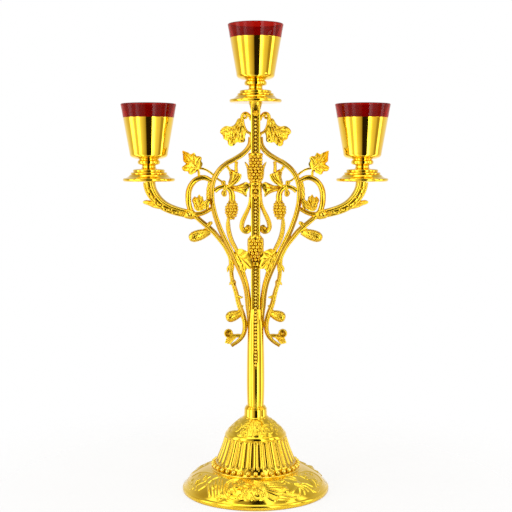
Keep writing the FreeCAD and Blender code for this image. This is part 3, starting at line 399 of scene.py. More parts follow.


# foot: a turned shell with flutes, and its chased band as a piece of its own
# the hollow values paint shade inside the foot, in the beads' seat, along the flutes and at their foot, and on the
# shoulder's sunk ground
foot = {
    "segments": 720, "insideHollow": 0.2,
    "inside": [
        (2.8, 74.4), (2.8, 72.7), (12.0, 72.7), (27.4, 58.4), (29.2, 54.6), (31.4, 45.0), (34.2, 36.0), (37.6, 27.4),
        (44.2, 21.2), (58.0, 14.6), (70.4, 3.8), (68.0, 0.0),
    ],
    "rimStart": (72.8, 0.0), "rimRuns": [(74.0, 2.6, -0.45, 4), (73.3, 5.0, -0.3, 4), (72.2, 5.8, 0.12, 3)],
    "bandFoot": (72.2, 5.8), "bandTop": (46.0, 23.0), "bandBow": -3.2, "bandRows": 8, "bandSunk": 0.7,
    "seatRuns": [(45.0, 23.4, 0, 2), (43.2, 24.6, 0.2, 3), (41.3, 26.6, 0.3, 3), (40.9, 29.4, 0, 3)], "seatHollow": 0.3,
    "fluteTop": (30.9, 56.4), "fluteBow": 0.6, "fluteRows": 18, "fluteCount": 36, "fluteDepth": 0.95, "fluteHalf": 0.40,
    "fluteStraight": 0.40, "fluteEnd": 0.07, "fluteHollow": 0.6, "fluteFootHollow": 0.5, "fluteFootFade": 9,
    "stepRuns": [(31.1, 57.0, -0.12, 2), (30.7, 58.2, -0.1, 3), (29.4, 59.8, -0.25, 4)],
    "shoulderTop": (13.4, 74.4), "shoulderBow": -0.5, "shoulderRows": 46, "shoulderRelief": 0.42, "shoulderHollow": 0.2,
    "shoulderHollowBelow": 0.5, "shoulderFade": 12,
}
shoulderChasing = {  # spirals are as in spiralLine, leaves as in leafHeight, rings are (radius, height)
    "centres": (-147, -57, 33, 123), "radius": 22.0, "reach": 21.5, "middle": 0.45,
    "rings": [(5.6, 0.9), (4.3, 0.5)], "ringWidth": 0.55, "rosette": (0, 0, 3.4, 5), "spiralWidth": 0.62, "leaf": 0.9,
    "spirals": [(10.4, 3.6, 3.6, 0.8, 220, -1.5), (11.2, -4.4, 3.6, 0.8, 120, 1.5)],
    "leaves": [
        ((6.0, -7.4), (14.0, -7.6), 1.5, -0.6, 1.9), ((6.0, 7.0), (13.6, 8.4), 1.4, 0.6, 1.9),
        ((16.2, 8.4), (16.4, -8.6), 1.7, 0.3, 1.9),
    ],
}
markLook = {  # shared by the chased marks of band and shoulder
    "spiralCurve": 0.8, "petalEdge": (0.72, 0.28), "petalRound": 0.6, "petalHeight": 0.8, "creaseDepth": 0.55,
    "creaseSharp": 14, "creaseFrom": 0.25, "eyeRadius": 0.26, "eyeHeight": 0.6, "leafSpan": (0.92, 0.06),
    "leafRound": 0.7, "lineWidth": 0.5, "lineOver": 0.3, "midrib": 0.8, "feather": 0.35, "leafFloor": 0.3,
}
chasing = {
    "segments": 1080, "rows": 82, "underStep": 16, "fades": (20, 24), "hollowBelow": 0.4,
    "radius": 60.0, "reach": 32.0, "thick": 1.0, "line": 0.78, "slim": 0.9, "leaf": 0.8,
    "hollow": 0.12, "motif": 0.65, "motifRadius": 4.6,
    "motifSpots": [(-69, 12.8), (-44, 15.4), (-22, 17.6), (2, 12.8), (28.3, 14.4), (46, 17.6), (66, 12.8)],
}


def smoothLine(corners, steps=6):
    corners = np.asarray(corners, float)
    padded = np.vstack([2 * corners[0] - corners[1], corners, 2 * corners[-1] - corners[-2]])
    line = []
    for a, b, c, d in zip(padded, padded[1:], padded[2:], padded[3:]):
        for t in np.arange(steps) / steps:
            curve = (2 * a - 5 * b + 4 * c - d) * t ** 2 + (3 * b - a - 3 * c + d) * t ** 3
            line.append(0.5 * (2 * b + (c - a) * t + curve))
    return line + [corners[-1]]


def strokeHeight(u, v, line, width):
    line = np.asarray(line, float)
    nearest = np.full(u.shape, 1e9)
    for (ax, ay), (bx, by) in zip(line, line[1:]):
        length = max((bx - ax) ** 2 + (by - ay) ** 2, 1e-9)
        t = np.clip(((u - ax) * (bx - ax) + (v - ay) * (by - ay)) / length, 0, 1)
        nearest = np.minimum(nearest, (u - ax - t * (bx - ax)) ** 2 + (v - ay - t * (by - ay)) ** 2)
    return np.exp(-nearest / (width * width))


def spiralLine(cx, cy, outer, inner, startAngle, turns, steps=40):
    line = []
    for i in range(steps + 1):
        share = i / steps
        angle = math.radians(startAngle) + turns * 2 * math.pi * share
        radius = outer + (inner - outer) * share ** markLook["spiralCurve"]
        line.append((cx + radius * math.cos(angle), cy + radius * math.sin(angle)))
    return line


def rosetteHeight(u, v, cx, cy, radius, petals, turn=0.0):
    distance = np.hypot(u - cx, v - cy)
    angle = np.arctan2(v - cy, u - cx) + turn
    look = markLook
    middle, swing = look["petalEdge"]
    edge = radius * (middle + swing * np.cos(petals * angle))
    body = np.clip(1 - (distance / np.maximum(edge, 1e-3)) ** 2, 0, 1) ** look["petalRound"]
    valley = np.exp(-(np.sin(petals * angle / 2) ** 2) * look["creaseSharp"])
    crease = 1 - look["creaseDepth"] * valley * (distance > radius * look["creaseFrom"])
    eye = np.exp(-((distance / (radius * look["eyeRadius"])) ** 2)) * look["eyeHeight"]
    return body * crease * look["petalHeight"] + eye


def leafHeight(u, v, start, end, halfWidth, bend=0.0, barbs=0.0):  # slim leaf with a raised edge and midrib
    span = np.array(end, float) - np.array(start, float)
    length = np.linalg.norm(span)
    ax, ay = span / length
    along = (u - start[0]) * ax + (v - start[1]) * ay
    across = -(u - start[0]) * ay + (v - start[1]) * ax
    share = np.clip(along / length, 0, 1)
    across = across - bend * np.sin(math.pi * share)
    look = markLook
    width, over, (stretch, shift) = look["lineWidth"], look["lineOver"], look["leafSpan"]
    edge = halfWidth * np.sin(math.pi * np.clip(share * stretch + shift, 0, 1)) ** look["leafRound"]
    inside = (np.abs(across) < edge) * (along > 0) * (along < length)
    rim = np.exp(-((np.abs(across) - edge) / width) ** 2) * (along > -over) * (along < length + over)
    height = np.maximum(rim, inside * np.exp(-((across / width) ** 2)) * look["midrib"])
    if barbs:
        feather = look["feather"] * (1 + np.cos(2 * math.pi * (along - np.abs(across)) / barbs))
        height = np.maximum(height, inside * feather)
    return np.maximum(height, inside * look["leafFloor"])


# strokes on the band are (width, height, corners), with corners in mm round from the front and up the slope
bandStrokes = [
    # ribbon and its pleats
    (0.8, 0.9, [(-57, 6), (-53, 12.5), (-52, 21), (-49, 27), (-42, 30.5)]),
    (0.7, 0.8, [(-55, 19), (-47.5, 11), (-42, 4)]), (0.7, 0.8, [(-51.5, 21.5), (-43.7, 12.5), (-38.6, 4.5)]),
    (0.7, 0.8, [(-48, 23), (-40.4, 13.5), (-35.8, 5)]), (0.7, 0.8, [(-44.2, 24.4), (-37.2, 14.5), (-33.4, 6.5)]),
    (0.7, 0.8, [(-40.5, 25), (-35, 17), (-32.6, 11)]),
    # cartouche
    (1.0, 1.0, [
        (-15, 27.5), (-20.5, 30.6), (-28, 29), (-32.3, 23.5), (-31.4, 15.5), (-28.4, 9), (-22.9, 4.5), (-16.7, 3),
        (-11, 5),
    ]),
    (0.5, 0.6, [
        (-17, 25.4), (-21, 28.2), (-26.8, 26.6), (-29.6, 22.4), (-29, 16), (-26.4, 10.6), (-22, 7), (-17.4, 5.6),
    ]),
    (0.7, 0.9, [(-18, 23), (-22.6, 25.6), (-26, 24.2), (-25, 20.6), (-22, 19.2), (-20.8, 21)]),
    (0.7, 0.9, [(-18.5, 12), (-21.4, 15), (-25.2, 14.4), (-25.8, 11), (-22.9, 9), (-21, 10.2)]),
    (0.7, 0.9, [(-12.3, 13), (-10.4, 10.5), (-10.6, 7), (-12.9, 5.6), (-14.4, 7.6), (-13.4, 10)]),
    (0.8, 0.8, [(-20, 18), (-15.5, 19), (-12, 16.4), (-12.3, 13)]),
    (0.7, 0.8, [(-15, 27.5), (-9.7, 24), (-4.8, 24), (-2.6, 27.6), (-5.2, 30)]),
    (0.7, 0.8, [(-13, 21.5), (-8, 20), (-6, 16.6), (-8.4, 14)]),
    (0.8, 0.9, [(-8.2, 13), (-4.4, 17), (-1.8, 21), (1.2, 18.5), (-1.2, 14.5)]),
    (0.9, 1.0, [(-7.9, 11.4), (-9.2, 7.5), (-7.3, 4.4), (-3.8, 4.6), (-3, 8)]),
    (0.9, 1.0, [(-4, 11.5), (-2, 7), (0.9, 4.8), (4.7, 6), (4.6, 9.6)]),
    (0.8, 0.9, [(7.3, 9.5), (9.4, 14), (8.2, 18.5), (5, 20), (2.6, 17), (3.5, 14), (5.6, 13.4)]),
    # wing
    (0.6, 0.8, [(-4, 30), (7.3, 27), (21.4, 27), (35, 26)]),
    (0.55, 0.8, [(-3, 27.8), (8.4, 25), (21.2, 24.6), (34.5, 24)]),
    (0.55, 0.8, [(-2, 25.8), (9.2, 23), (20, 22.2), (32, 21)]),
    (0.55, 0.8, [(-0.6, 24), (9.2, 21), (19, 19.6), (26, 18.4)]),
    (0.55, 0.8, [(0.6, 22.4), (9.2, 19), (17.6, 17), (24, 15)]), (0.55, 0.8, [(9.6, 17), (16.4, 13.6), (24, 10)]),
    (0.7, 0.9, [(9, 14.8), (14.1, 11.8), (20.5, 7.8), (30, 4.6)]),
    (0.7, 0.8, [(11, 11.5), (11.4, 7), (15.8, 3.4), (19.4, 5.4)]), (0.7, 0.8, [(19, 5), (27, 3.4), (35.5, 4)]),
    # turned leaf
    (0.8, 1.0, [
        (37.5, 29), (42, 30.8), (46.6, 29.8), (49.3, 26.5), (48.7, 22), (45.6, 23.6), (42.4, 26.8), (37.5, 29),
    ]),
    (0.5, 0.7, [(39.5, 28.8), (44.5, 27.6), (48, 24)]),
    (0.7, 0.9, [(33, 26), (36, 22), (40, 19.6), (43, 18)]), (0.7, 0.9, [(33.6, 9.6), (38, 12), (42, 14.6)]),
    # palm spray
    (0.6, 0.9, [(46, 15), (50, 11), (51.4, 6.5)]), (0.6, 0.9, [(45.4, 13), (47.2, 9), (46, 5)]),
    (0.6, 0.9, [(48, 15.5), (53.7, 11.5), (57, 4)]), (0.6, 0.9, [(44.3, 12.5), (42.2, 8), (39, 4)]),
    (0.6, 0.9, [(49, 17), (55, 15), (60.4, 9)]),
    (0.8, 0.9, [(55, 29), (60, 25), (62.4, 19), (68, 16), (67.7, 11), (64.8, 6)]),
    (0.8, 0.8, [(72, 29), (80, 27), (86, 21), (88, 13), (83.6, 7)]),
    (0.8, 0.8, [(-60, 29), (-68, 28.6), (-77, 26), (-85, 20), (-88, 12)]),
    (0.7, 0.8, [(-61, 5), (-64, 9), (-61.6, 13), (-58.6, 16), (-60, 21)]),
]
bandRosettes = [  # (across, up, radius, petals, height)
    (-22, 17.6, 3.0, 5, 0.9), (2, 11.6, 2.6, 5, 0.8), (28.6, 14.5, 4.0, 6, 1.0), (45.4, 17, 3.7, 5, 1.0),
    (66.5, 22, 4.0, 5, 0.9), (74, 13, 4.0, 5, 0.9), (80, 20, 3.4, 5, 0.9), (74, 24.6, 3.0, 5, 0.8),
    (-69, 13, 4.2, 5, 1.0), (-78, 20, 3.8, 5, 0.9), (-68, 23, 3.6, 5, 0.9), (-80, 10, 3.4, 5, 0.9),
]
bandLeaves = [  # (start, end, half width, bend, barb pitch)
    ((-50, 29.5), (-38, 30), 1.6, 0.6, 0.0), ((-66, 5), (-75, 5.4), 1.8, 0.5, 2.0),
    ((58, 5), (68, 4.4), 1.8, -0.5, 2.0), ((59, 27), (68, 29), 1.8, 0.6, 2.2),
    ((-64, 17.4), (-59.6, 25), 1.8, 0.5, 2.0), ((-74, 8), (-84, 6), 1.8, 0.6, 2.0), ((70, 8.4), (79, 6), 1.8, 0.5, 2.0),
    ((-30, 3.6), (-36.5, 5.6), 1.5, 0.4, 0.0),
]


def reliefBand(u, v):
    marks, swell = [], []
    for width, height, corners in bandStrokes:
        marks.append(strokeHeight(u, v, smoothLine(corners), width * chasing["slim"]) * height)
    for cx, cy, radius, petals, height in bandRosettes:
        marks.append(rosetteHeight(u, v, cx, cy, radius, petals, cx) * height)
    marks += [leafHeight(u, v, *leaf) * chasing["leaf"] for leaf in bandLeaves]
    for cx, cy in chasing["motifSpots"]:  # low swellings under the main motifs
        distance = ((u - cx) ** 2 + (v - cy) ** 2) / chasing["motifRadius"] ** 2
        swell.append(np.clip(1 - distance, 0, 1))
    return np.maximum.reduce(marks), np.maximum.reduce(swell)


def reliefShoulder(u, v):  # u in degrees from the front, v from 0 at the flutes to 1 at the collar
    look, marks = shoulderChasing, []
    for centre in look["centres"]:
        x = (((u - centre + 180) % 360) - 180) * math.pi / 180 * look["radius"]
        y = (v - look["middle"]) * look["reach"]
        for radius, height in look["rings"]:
            marks.append(np.exp(-((np.hypot(x, y) - radius) / look["ringWidth"]) ** 2) * height)
        marks.append(rosetteHeight(x, y, *look["rosette"]))
        for side in (-1, 1):
            marks += [strokeHeight(x * side, y, spiralLine(*s), look["spiralWidth"]) for s in look["spirals"]]
            marks += [leafHeight(x * side, y, *leaf) * look["leaf"] for leaf in look["leaves"]]
    return np.maximum.reduce(marks)


def profileNormals(profile):
    tangent = np.gradient(np.asarray(profile, float), axis=0)
    tangent /= np.linalg.norm(tangent, axis=1)[:, None]
    return np.stack([tangent[:, 1], -tangent[:, 0]], 1)


def fromFront(angles):
    return (np.degrees(angles) + 90 + 180) % 360 - 180  # front faces -Y


def ringShape(angles, outer, lift, hollow, inner, innerHollow):  # lifted outer profile, closed by an inner one
    normal, count = profileNormals(outer), len(angles)
    radii = np.vstack([outer[:, :1] + normal[:, :1] * lift, np.repeat(inner[:, :1], count, 1)])
    heights = np.vstack([outer[:, 1:] + normal[:, 1:] * lift, np.repeat(inner[:, 1:], count, 1)])
    hollow = np.vstack([hollow, np.full((len(inner), count), innerHollow)])
    points = np.stack([radii * np.cos(angles), radii * np.sin(angles), heights], 2).reshape(-1, 3)
    return points, gridFaces(len(radii), count, True), hollow.reshape(-1)


def footShape():
    angles = np.arange(foot["segments"]) * 2 * math.pi / foot["segments"]
    rim = turnedProfile(foot["rimStart"], foot["rimRuns"])
    band = np.array(arcPoints(rim[-1], foot["bandTop"], foot["bandBow"], foot["bandRows"]))
    seat = turnedProfile(tuple(band[-1]), foot["seatRuns"])[1:]
    flute = arcPoints(seat[-1], foot["fluteTop"], foot["fluteBow"], foot["fluteRows"])
    step = turnedProfile(flute[-1], foot["stepRuns"])[1:]
    shoulder = arcPoints(step[-1], foot["shoulderTop"], foot["shoulderBow"], foot["shoulderRows"])
    band[:-1] -= profileNormals(band)[:-1] * foot["bandSunk"]  # under the chased band
    outer = np.array(rim + [tuple(p) for p in band] + seat + flute + step + shoulder)
    lift, hollow = np.zeros((2, len(outer), len(angles)))
    fluteStart = len(rim) + len(band) + len(seat)
    # painted shade in the beads' seat
    hollow[fluteStart - len(seat):fluteStart] = foot["seatHollow"]  # the beads' seat stays darker
    turn = angles * foot["fluteCount"] / (2 * math.pi) % 1.0 - 0.5
    t, s = np.meshgrid(turn, np.linspace(0, 1, len(flute)))
    end = ((np.abs(s - 0.5) - foot["fluteStraight"]) / foot["fluteEnd"]).clip(0, 1)
    width = foot["fluteHalf"] * np.sqrt(np.clip(1 - end ** 2, 0, 1))
    groove = np.sqrt(np.clip(1 - (t / np.maximum(width, 1e-3)) ** 2, 0, 1))
    rows = slice(fluteStart, fluteStart + len(flute))
    lift[rows] = -groove * foot["fluteDepth"]
    # painted shade along the flute grooves and at the flutes' foot
    footShade = np.clip(1 - s * foot["fluteFootFade"], 0, 1) * foot["fluteFootHollow"]
    hollow[rows] = np.maximum(groove ** 1.5 * foot["fluteHollow"], footShade)
    share = np.linspace(0, 1, len(shoulder))
    relief = reliefShoulder(*np.meshgrid(fromFront(angles), share))
    fade = np.clip(np.minimum(share, 1 - share) * foot["shoulderFade"], 0, 1)[:, None]
    lift[-len(shoulder):] = relief * fade * foot["shoulderRelief"]
    # painted shade on the shoulder's sunk ground, away from the raised marks
    deep = np.clip(1 - relief / foot["shoulderHollowBelow"], 0, 1) ** 2
    hollow[-len(shoulder):] = deep * foot["shoulderHollow"] * fade
    return ringShape(angles, outer, lift, hollow, np.array(foot["inside"]), foot["insideHollow"])


def bandShape():
    angles = np.arange(chasing["segments"]) * 2 * math.pi / chasing["segments"]
    curve = arcPoints(foot["bandFoot"], foot["bandTop"], foot["bandBow"], chasing["rows"])
    outer = np.array([foot["bandFoot"]] + curve)
    share = np.linspace(0, 1, len(outer))
    half = (fromFront(angles) + 90) % 180 - 90  # the design runs twice round the foot
    relief, swell = reliefBand(*np.meshgrid(np.radians(half) * chasing["radius"], share * chasing["reach"]))
    fadeIn, fadeOut = chasing["fades"]
    fade = np.clip(np.minimum(share * fadeIn, (1 - share) * fadeOut), 0, 1)[:, None]
    lift = (relief * chasing["line"] + swell * chasing["motif"]) * fade
    # painted shade on the band's sunk ground, away from the raised marks
    hollow = np.clip(1 - relief / chasing["hollowBelow"], 0, 1) ** 2 * chasing["hollow"] * fade
    under = (outer - profileNormals(outer) * chasing["thick"])[::-1][::chasing["underStep"]]
    return ringShape(angles, outer, lift, hollow, under, 0.0)


makePiece("footShell", [footShape()], chasedGold, ["foot_shell"], sharp=60)
makePiece("footBand", [bandShape()], chasedGold, ["foot_shell"], sharp=60)

beadRing = {
    "count": 36, "radius": 43.0, "height": 27.4, "bead": 2.2, "cordRadius": 44.6, "cordHeight": 24.0, "cord": 0.8,
}
ringSpots, cordProfile = [], []
for a in [2 * math.pi * i / beadRing["count"] for i in range(beadRing["count"])]:
    ringSpots.append((beadRing["radius"] * math.cos(a), beadRing["radius"] * math.sin(a), beadRing["height"]))
for a in [i * math.pi / 7 for i in range(14)]:
    out, up = beadRing["cord"] * math.cos(a), beadRing["cord"] * math.sin(a)
    cordProfile.append((beadRing["cordRadius"] + out, beadRing["cordHeight"] + up))
ringBeads = berries(ringSpots, beadRing["bead"], 0.0, 3, beadGold)
makePiece("footBeadRing", [ringBeads, lathe(cordProfile, 180, True)], beadGold, ["foot_bead_ring"])
print("stage: foot turned and chased")


# collar and stem
collarRuns = [
    (12.6, 74.5, 0, 2), (12.8, 75.2, -0.15, 3), (11.6, 77.0, 0.3, 4), (11.3, 83.3, 0, 5), (10.9, 83.9, -0.15, 3),
    (10.1, 84.1, 0.05, 2), (10.6, 84.7, -0.12, 3), (10.1, 85.3, -0.12, 3), (9.4, 85.5, 0.05, 2), (9.8, 86.0, -0.1, 3),
    (9.2, 86.5, -0.1, 3), (2.9, 86.5, 0, 2),
]
makePiece("footCollar", [turned((2.9, 74.5), collarRuns, 160, True)], turnedGold, ["foot_collar"])

stem = {
    "segments": 192, "channelFoot": 125.0, "channelTop": 190.0, "channelHalf": 2.0, "channelDepth": 1.0,
    "channelEdge": 0.35, "channelThinnest": 0.3, "pointLength": 6.0, "fadeLength": 8.0, "boreBelow": 5, "paintedShade": 0.6,
    "start": (2.9, 86.5),
    "runs": [
        (8.3, 86.5, 0, 2), (8.9, 112.0, -0.15, 30), (7.9, 166.0, -0.2, 80), (6.0, 184.6, -0.3, 26), (2.9, 185.0, 0, 2),
    ],
}


def stemShape():
    points, faces = turned(stem["start"], stem["runs"], stem["segments"], True)[:2]
    x, z = points[:, 0], points[:, 2]
    radius = np.hypot(points[:, 0], points[:, 1])
    point = np.clip((z - stem["channelFoot"]) / stem["pointLength"], 0, 1)  # the channel ends in a point
    fade = np.clip((stem["channelTop"] - z) / stem["fadeLength"], 0, 1)
    half = stem["channelHalf"] * np.sqrt(point) * fade
    sunk = np.clip((half - np.abs(x)) / stem["channelEdge"], 0, 1)
    sunk = sunk * (radius > stem["boreBelow"]) * (half > stem["channelThinnest"])
    points[:, :2] *= (1 - sunk * stem["channelDepth"] / np.maximum(radius, 1))[:, None]
    # the channel's floor gets painted shade
    return points, faces, sunk * stem["paintedShade"]


makePiece("stemShaft", [stemShape()], turnedGold, ["stem"])

column = {
    "half": 4.75, "channelHalf": 2.0, "channelDepth": 1.1, "foot": 185.0, "top": 390.0,
    "neckRadius": 7.0, "neckHeight": 9.0, "neckCurve": 1.6, "shaftLevels": 80, "neckLevels": 9,
}


def columnShape():
    half, slot, floor = column["half"], column["channelHalf"], column["half"] - column["channelDepth"]
    # the third value of each corner paints shade on the channel's floor
    quarter = [
        (half, 0.0, 0), (half, 1.4, 0), (half - 0.55, 1.75, 0), (half - 0.1, 2.2, 0), (half, 3.4, 0),
        (half - 0.2, 4.2, 0), (half - 0.9, half - 0.15, 0), (half - 1.6, half, 0), (slot + 0.35, half, 0),
        (slot, half - 0.3, 0.1), (slot - 0.15, floor, 0.6), (0.8, floor, 0.6),
    ]
    section = quarter + [(-x, y, h) for x, y, h in reversed(quarter)]
    section += [(-x, -y, h) for x, y, h in quarter[1:]] + [(x, -y, h) for x, y, h in reversed(quarter[1:])]
    section = np.array(section)
    neck = column["top"] - column["neckHeight"]
    shaft = np.linspace(column["foot"], neck, column["shaftLevels"])
    levels = np.concatenate([shaft, np.linspace(neck + 1, column["top"], column["neckLevels"])])
    points, hollow = [], []
    for level in levels:
        share = np.clip((level - neck) / column["neckHeight"], 0, 1) ** column["neckCurve"]
        reach = np.hypot(section[:, 0], section[:, 1])
        grow = 1 + share * (column["neckRadius"] / np.maximum(reach, 3) - 1)
        points += [(x * g, y * g, level) for x, y, g in zip(section[:, 0], section[:, 1], grow)]
        hollow += list(section[:, 2] * (1 - share))
    return np.array(points), tubeFaces(len(levels), len(section)), np.array(hollow)


def ballShape(spot, radius, flatten=(1, 1, 1), segments=16, pole=0.02):
    rows = segments // 2
    turns = [math.pi * i / rows for i in range(rows + 1)]
    profile = [(max(math.sin(a), pole), -math.cos(a)) for a in turns]
    points, faces, hollow = lathe(profile, segments)
    return points * radius * np.array(flatten) + np.array(spot), faces, hollow


daisy = {
    "reach": 0.62, "size": 0.42, "petalForm": ((1, 0.8, 1), 10), "eyeForm": ((1, 0.9, 1), 12), "eyeLift": 0.3,
}


def studRosette(height, face, radius):  # small daisy on the front and back faces
    shapes, reach, size = [], radius * daisy["reach"], radius * daisy["size"]
    for side in (-1, 1):
        for i in range(6):
            angle = i * math.pi / 3
            spot = (reach * math.cos(angle), side * face, height + reach * math.sin(angle))
            shapes.append(ballShape(spot, size, *daisy["petalForm"]))
        shapes.append(ballShape((0, side * (face + daisy["eyeLift"]), height), size, *daisy["eyeForm"]))
    return shapes


makePiece("columnShaft", [columnShape()] + studRosette(379.2, 4.9, 2.9), castGold, ["column"])

pearls = {"radius": 1.36, "pitch": 3.3, "stripThick": 0.7, "stripHalf": 1.8, "paintedShade": 0.6}
pearlRuns = [  # (height, depth of the channel's floor)
    [(127.0, 7.75), (167.0, 6.9), (184.6, 4.7), (188.0, 3.65), (227.6, 3.65)],
    [(257.2, 3.65), (310.4, 3.65)], [(339.6, 3.65), (375.2, 3.65)],
]
pearlSpots, stripShapes = [], []
for run in pearlRuns:
    heights, floors = zip(*run)
    number = int((heights[-1] - heights[0]) / pearls["pitch"])
    for side in (-1, 1):
        for i in range(number):
            level = heights[0] + (i + 0.5) * (heights[-1] - heights[0]) / number
            pearlSpots.append((0, side * (np.interp(level, heights, floors) + pearls["stripThick"] * 0.6), level))
        wide, corners = pearls["stripHalf"], []
        for level, floor in run:
            near, far = side * (floor - 0.3), side * (floor + pearls["stripThick"] * 0.3)
            corners += [(-wide, near, level), (wide, near, level), (wide * 0.8, far, level), (-wide * 0.8, far, level)]
        strip = np.array(corners, float)
        # the strip behind the pearls gets painted shade
        stripShapes.append((strip, tubeFaces(len(run), 4), np.full(len(strip), pearls["paintedShade"])))
pearlBalls = berries(pearlSpots, pearls["radius"], 0.0, 2, beadGold)
makePiece("pearlStrips", [pearlBalls] + stripShapes, beadGold, ["pearl_strips"])
print("stage: stem and column")


# grape clusters around the column, with sepals, collars and knots
def squared(points):  # swells a turned form towards the column's corners
    angle = np.arctan2(points[:, 1], points[:, 0])
    swell = (np.abs(np.cos(angle)) ** 4 + np.abs(np.sin(angle)) ** 4) ** -0.25
    return points * np.stack([swell, swell, np.ones(len(points))], 1)


clusterLook = {"rowPitch": 0.88, "crowding": 1.12, "coreSegments": 40}


def clusterSpots(low, high, reachLow, reachHigh, pitch):
    spots = []
    rows = max(2, int(round((high - low) / (pitch * clusterLook["rowPitch"]))) + 1)
    for row in range(rows):
        share = row / (rows - 1)
        reach = reachLow + (reachHigh - reachLow) * math.sin(math.pi / 2 * min(1.0, share * 1.5))
        count = max(6, int(2 * math.pi * reach * clusterLook["crowding"] / pitch))
        for i in range(count):
            angle = 2 * math.pi * (i + 0.5 * (row % 2)) / count
            spots.append((reach * math.cos(angle), reach * math.sin(angle), low + (high - low) * share))
    return squared(np.array(spots))


def clusterCore(start, runs):
    points, faces, hollow = turned(start, runs, clusterLook["coreSegments"])
    # the core between the berries gets painted shade in full
    return squared(points), faces, hollow + 1.0


# leaf between outline and heart: domed, with sunk veins and raised pillows, the same front and back; its veins and rib
# hollows get painted shade
def leafShape(outline, heart, veins, look):
    outline, heart = np.asarray(outline, float), np.array(heart, float)
    dense = []
    count, rings = len(outline), look["rings"]
    for i in range(count):
        before, here, after, beyond = (outline[(i + k) % count] for k in (-1, 0, 1, 2))
        inward, onward = (after - before) * look["soften"], (beyond - here) * look["soften"]
        for step in range(look["edgeSteps"]):
            t = step / look["edgeSteps"]
            a, b = 2 * t ** 3 - 3 * t ** 2 + 1, t ** 3 - 2 * t ** 2 + t
            c, d = -2 * t ** 3 + 3 * t ** 2, t ** 3 - t ** 2
            dense.append(a * here + b * inward + c * after + d * onward)
    dense = np.array(dense)
    shares = np.linspace(look["heartShare"], 1.0, rings)
    x = heart[0] + shares[:, None] * (dense[:, 0] - heart[0])
    z = heart[1] + shares[:, None] * (dense[:, 1] - heart[1])
    t = np.repeat(shares[:, None], len(dense), 1)
    sunk = np.maximum.reduce([strokeHeight(x, z, vein, look["veinWidth"]) for vein in veins])
    near = np.maximum.reduce([strokeHeight(x, z, vein, look["veinWidth"] * look["veinSpread"]) for vein in veins])
    height = look["rim"] + look["dome"] * (1 - t ** look["domeCurve"])
    height = height + look["pillow"] * (1 - near) * (1 - t ** look["pillowCurve"])
    height = height - look["veinDepth"] * sunk * (1 - t ** 8)
    if look["ribPitch"]:
        main = np.asarray(veins[0], float)
        run = main[-1] - main[0]
        run /= np.linalg.norm(run)
        along = (x - main[0][0]) * run[0] + (z - main[0][1]) * run[1]
        across = np.abs(-(x - main[0][0]) * run[1] + (z - main[0][1]) * run[0])
        ribs = np.cos(2 * math.pi * (along - across * look["ribSlant"]) / look["ribPitch"])
        height = height + look["ribHeight"] * ribs * (1 - t ** 6)
        sunk = np.maximum(sunk, np.clip(-ribs - look["ribHollowFrom"], 0, 1) * look["ribHollow"])
    height = np.maximum(height, look["thinnest"])
    lift = look["lift"] + look["curl"] * t ** 2 - look["lean"] * (z - heart[1]) - look["turn"] * (x - heart[0])
    front, back = (np.stack([x, -lift + side * height, z], 2).reshape(-1, 3) for side in (-1, 1))
    size = len(dense)
    start, edge = rings * size, (rings - 1) * size
    blade = gridFaces(rings, size) + [tuple(range(size))]
    faces = blade + [tuple(start + i for i in reversed(face)) for face in blade]
    for i in range(size):
        after = (i + 1) % size
        faces.append((edge + i, edge + after, start + edge + after, start + edge + i))
    return np.vstack([front, back]), faces, np.concatenate([sunk.reshape(-1)] * 2) * look["paintedShade"]


leafLook = {
    "edgeSteps": 6, "rings": 13, "rim": 0.55, "dome": 1.1, "pillow": 0.55, "veinDepth": 0.45, "veinWidth": 0.36,
    "veinSpread": 2.6, "ribPitch": 0.0, "paintedShade": 0.4, "thinnest": 0.25, "soften": 0.5,
    "lift": 0.0, "curl": 0.0, "lean": 0.16, "turn": 0.34, "heartShare": 0.04, "domeCurve": 2.4, "pillowCurve": 5,
    "ribSlant": 0.8, "ribHollowFrom": 0.4, "ribHollow": 0.6,
}
petalLook = dict(leafLook, rings=9, dome=0.9, pillow=0.4, veinWidth=0.58, veinDepth=0.6, turn=0.32, paintedShade=0.3)


def turnedAbout(points, base, degrees, scale=1.0):
    c, s = math.cos(math.radians(degrees)), math.sin(math.radians(degrees))
    return [(base[0] + scale * (x * c + z * s), base[1] + scale * (z * c - x * s)) for x, z in points]


petalHalf = [(0.09, 0.10), (0.16, 0.34), (0.27, 0.58), (0.31, 0.74), (0.20, 0.86), (0.13, 0.94)]
petalHeart, petalVein, petalSideVein = (0, 0.55), [(0, 0.02), (0, 0.9)], [(0, 0.25), (0.16, 0.82)]
petalOutline = [(0, 0)] + petalHalf + [(0, 1.06)] + [(-x, z) for x, z in reversed(petalHalf)]


def petal(base, degrees, length, width=1.0, lift=0.0, curl=0.0):
    outline = turnedAbout([(x * width, z) for x, z in petalOutline], base, degrees, length)
    heart = turnedAbout([petalHeart], base, degrees, length)[0]
    veins = [turnedAbout(petalVein, base, degrees, length)]
    for side in (-1, 1):
        veins.append(turnedAbout([(side * x * width, z) for x, z in petalSideVein], base, degrees, length))
    return leafShape(outline, heart, veins, dict(petalLook, lift=lift, curl=curl))


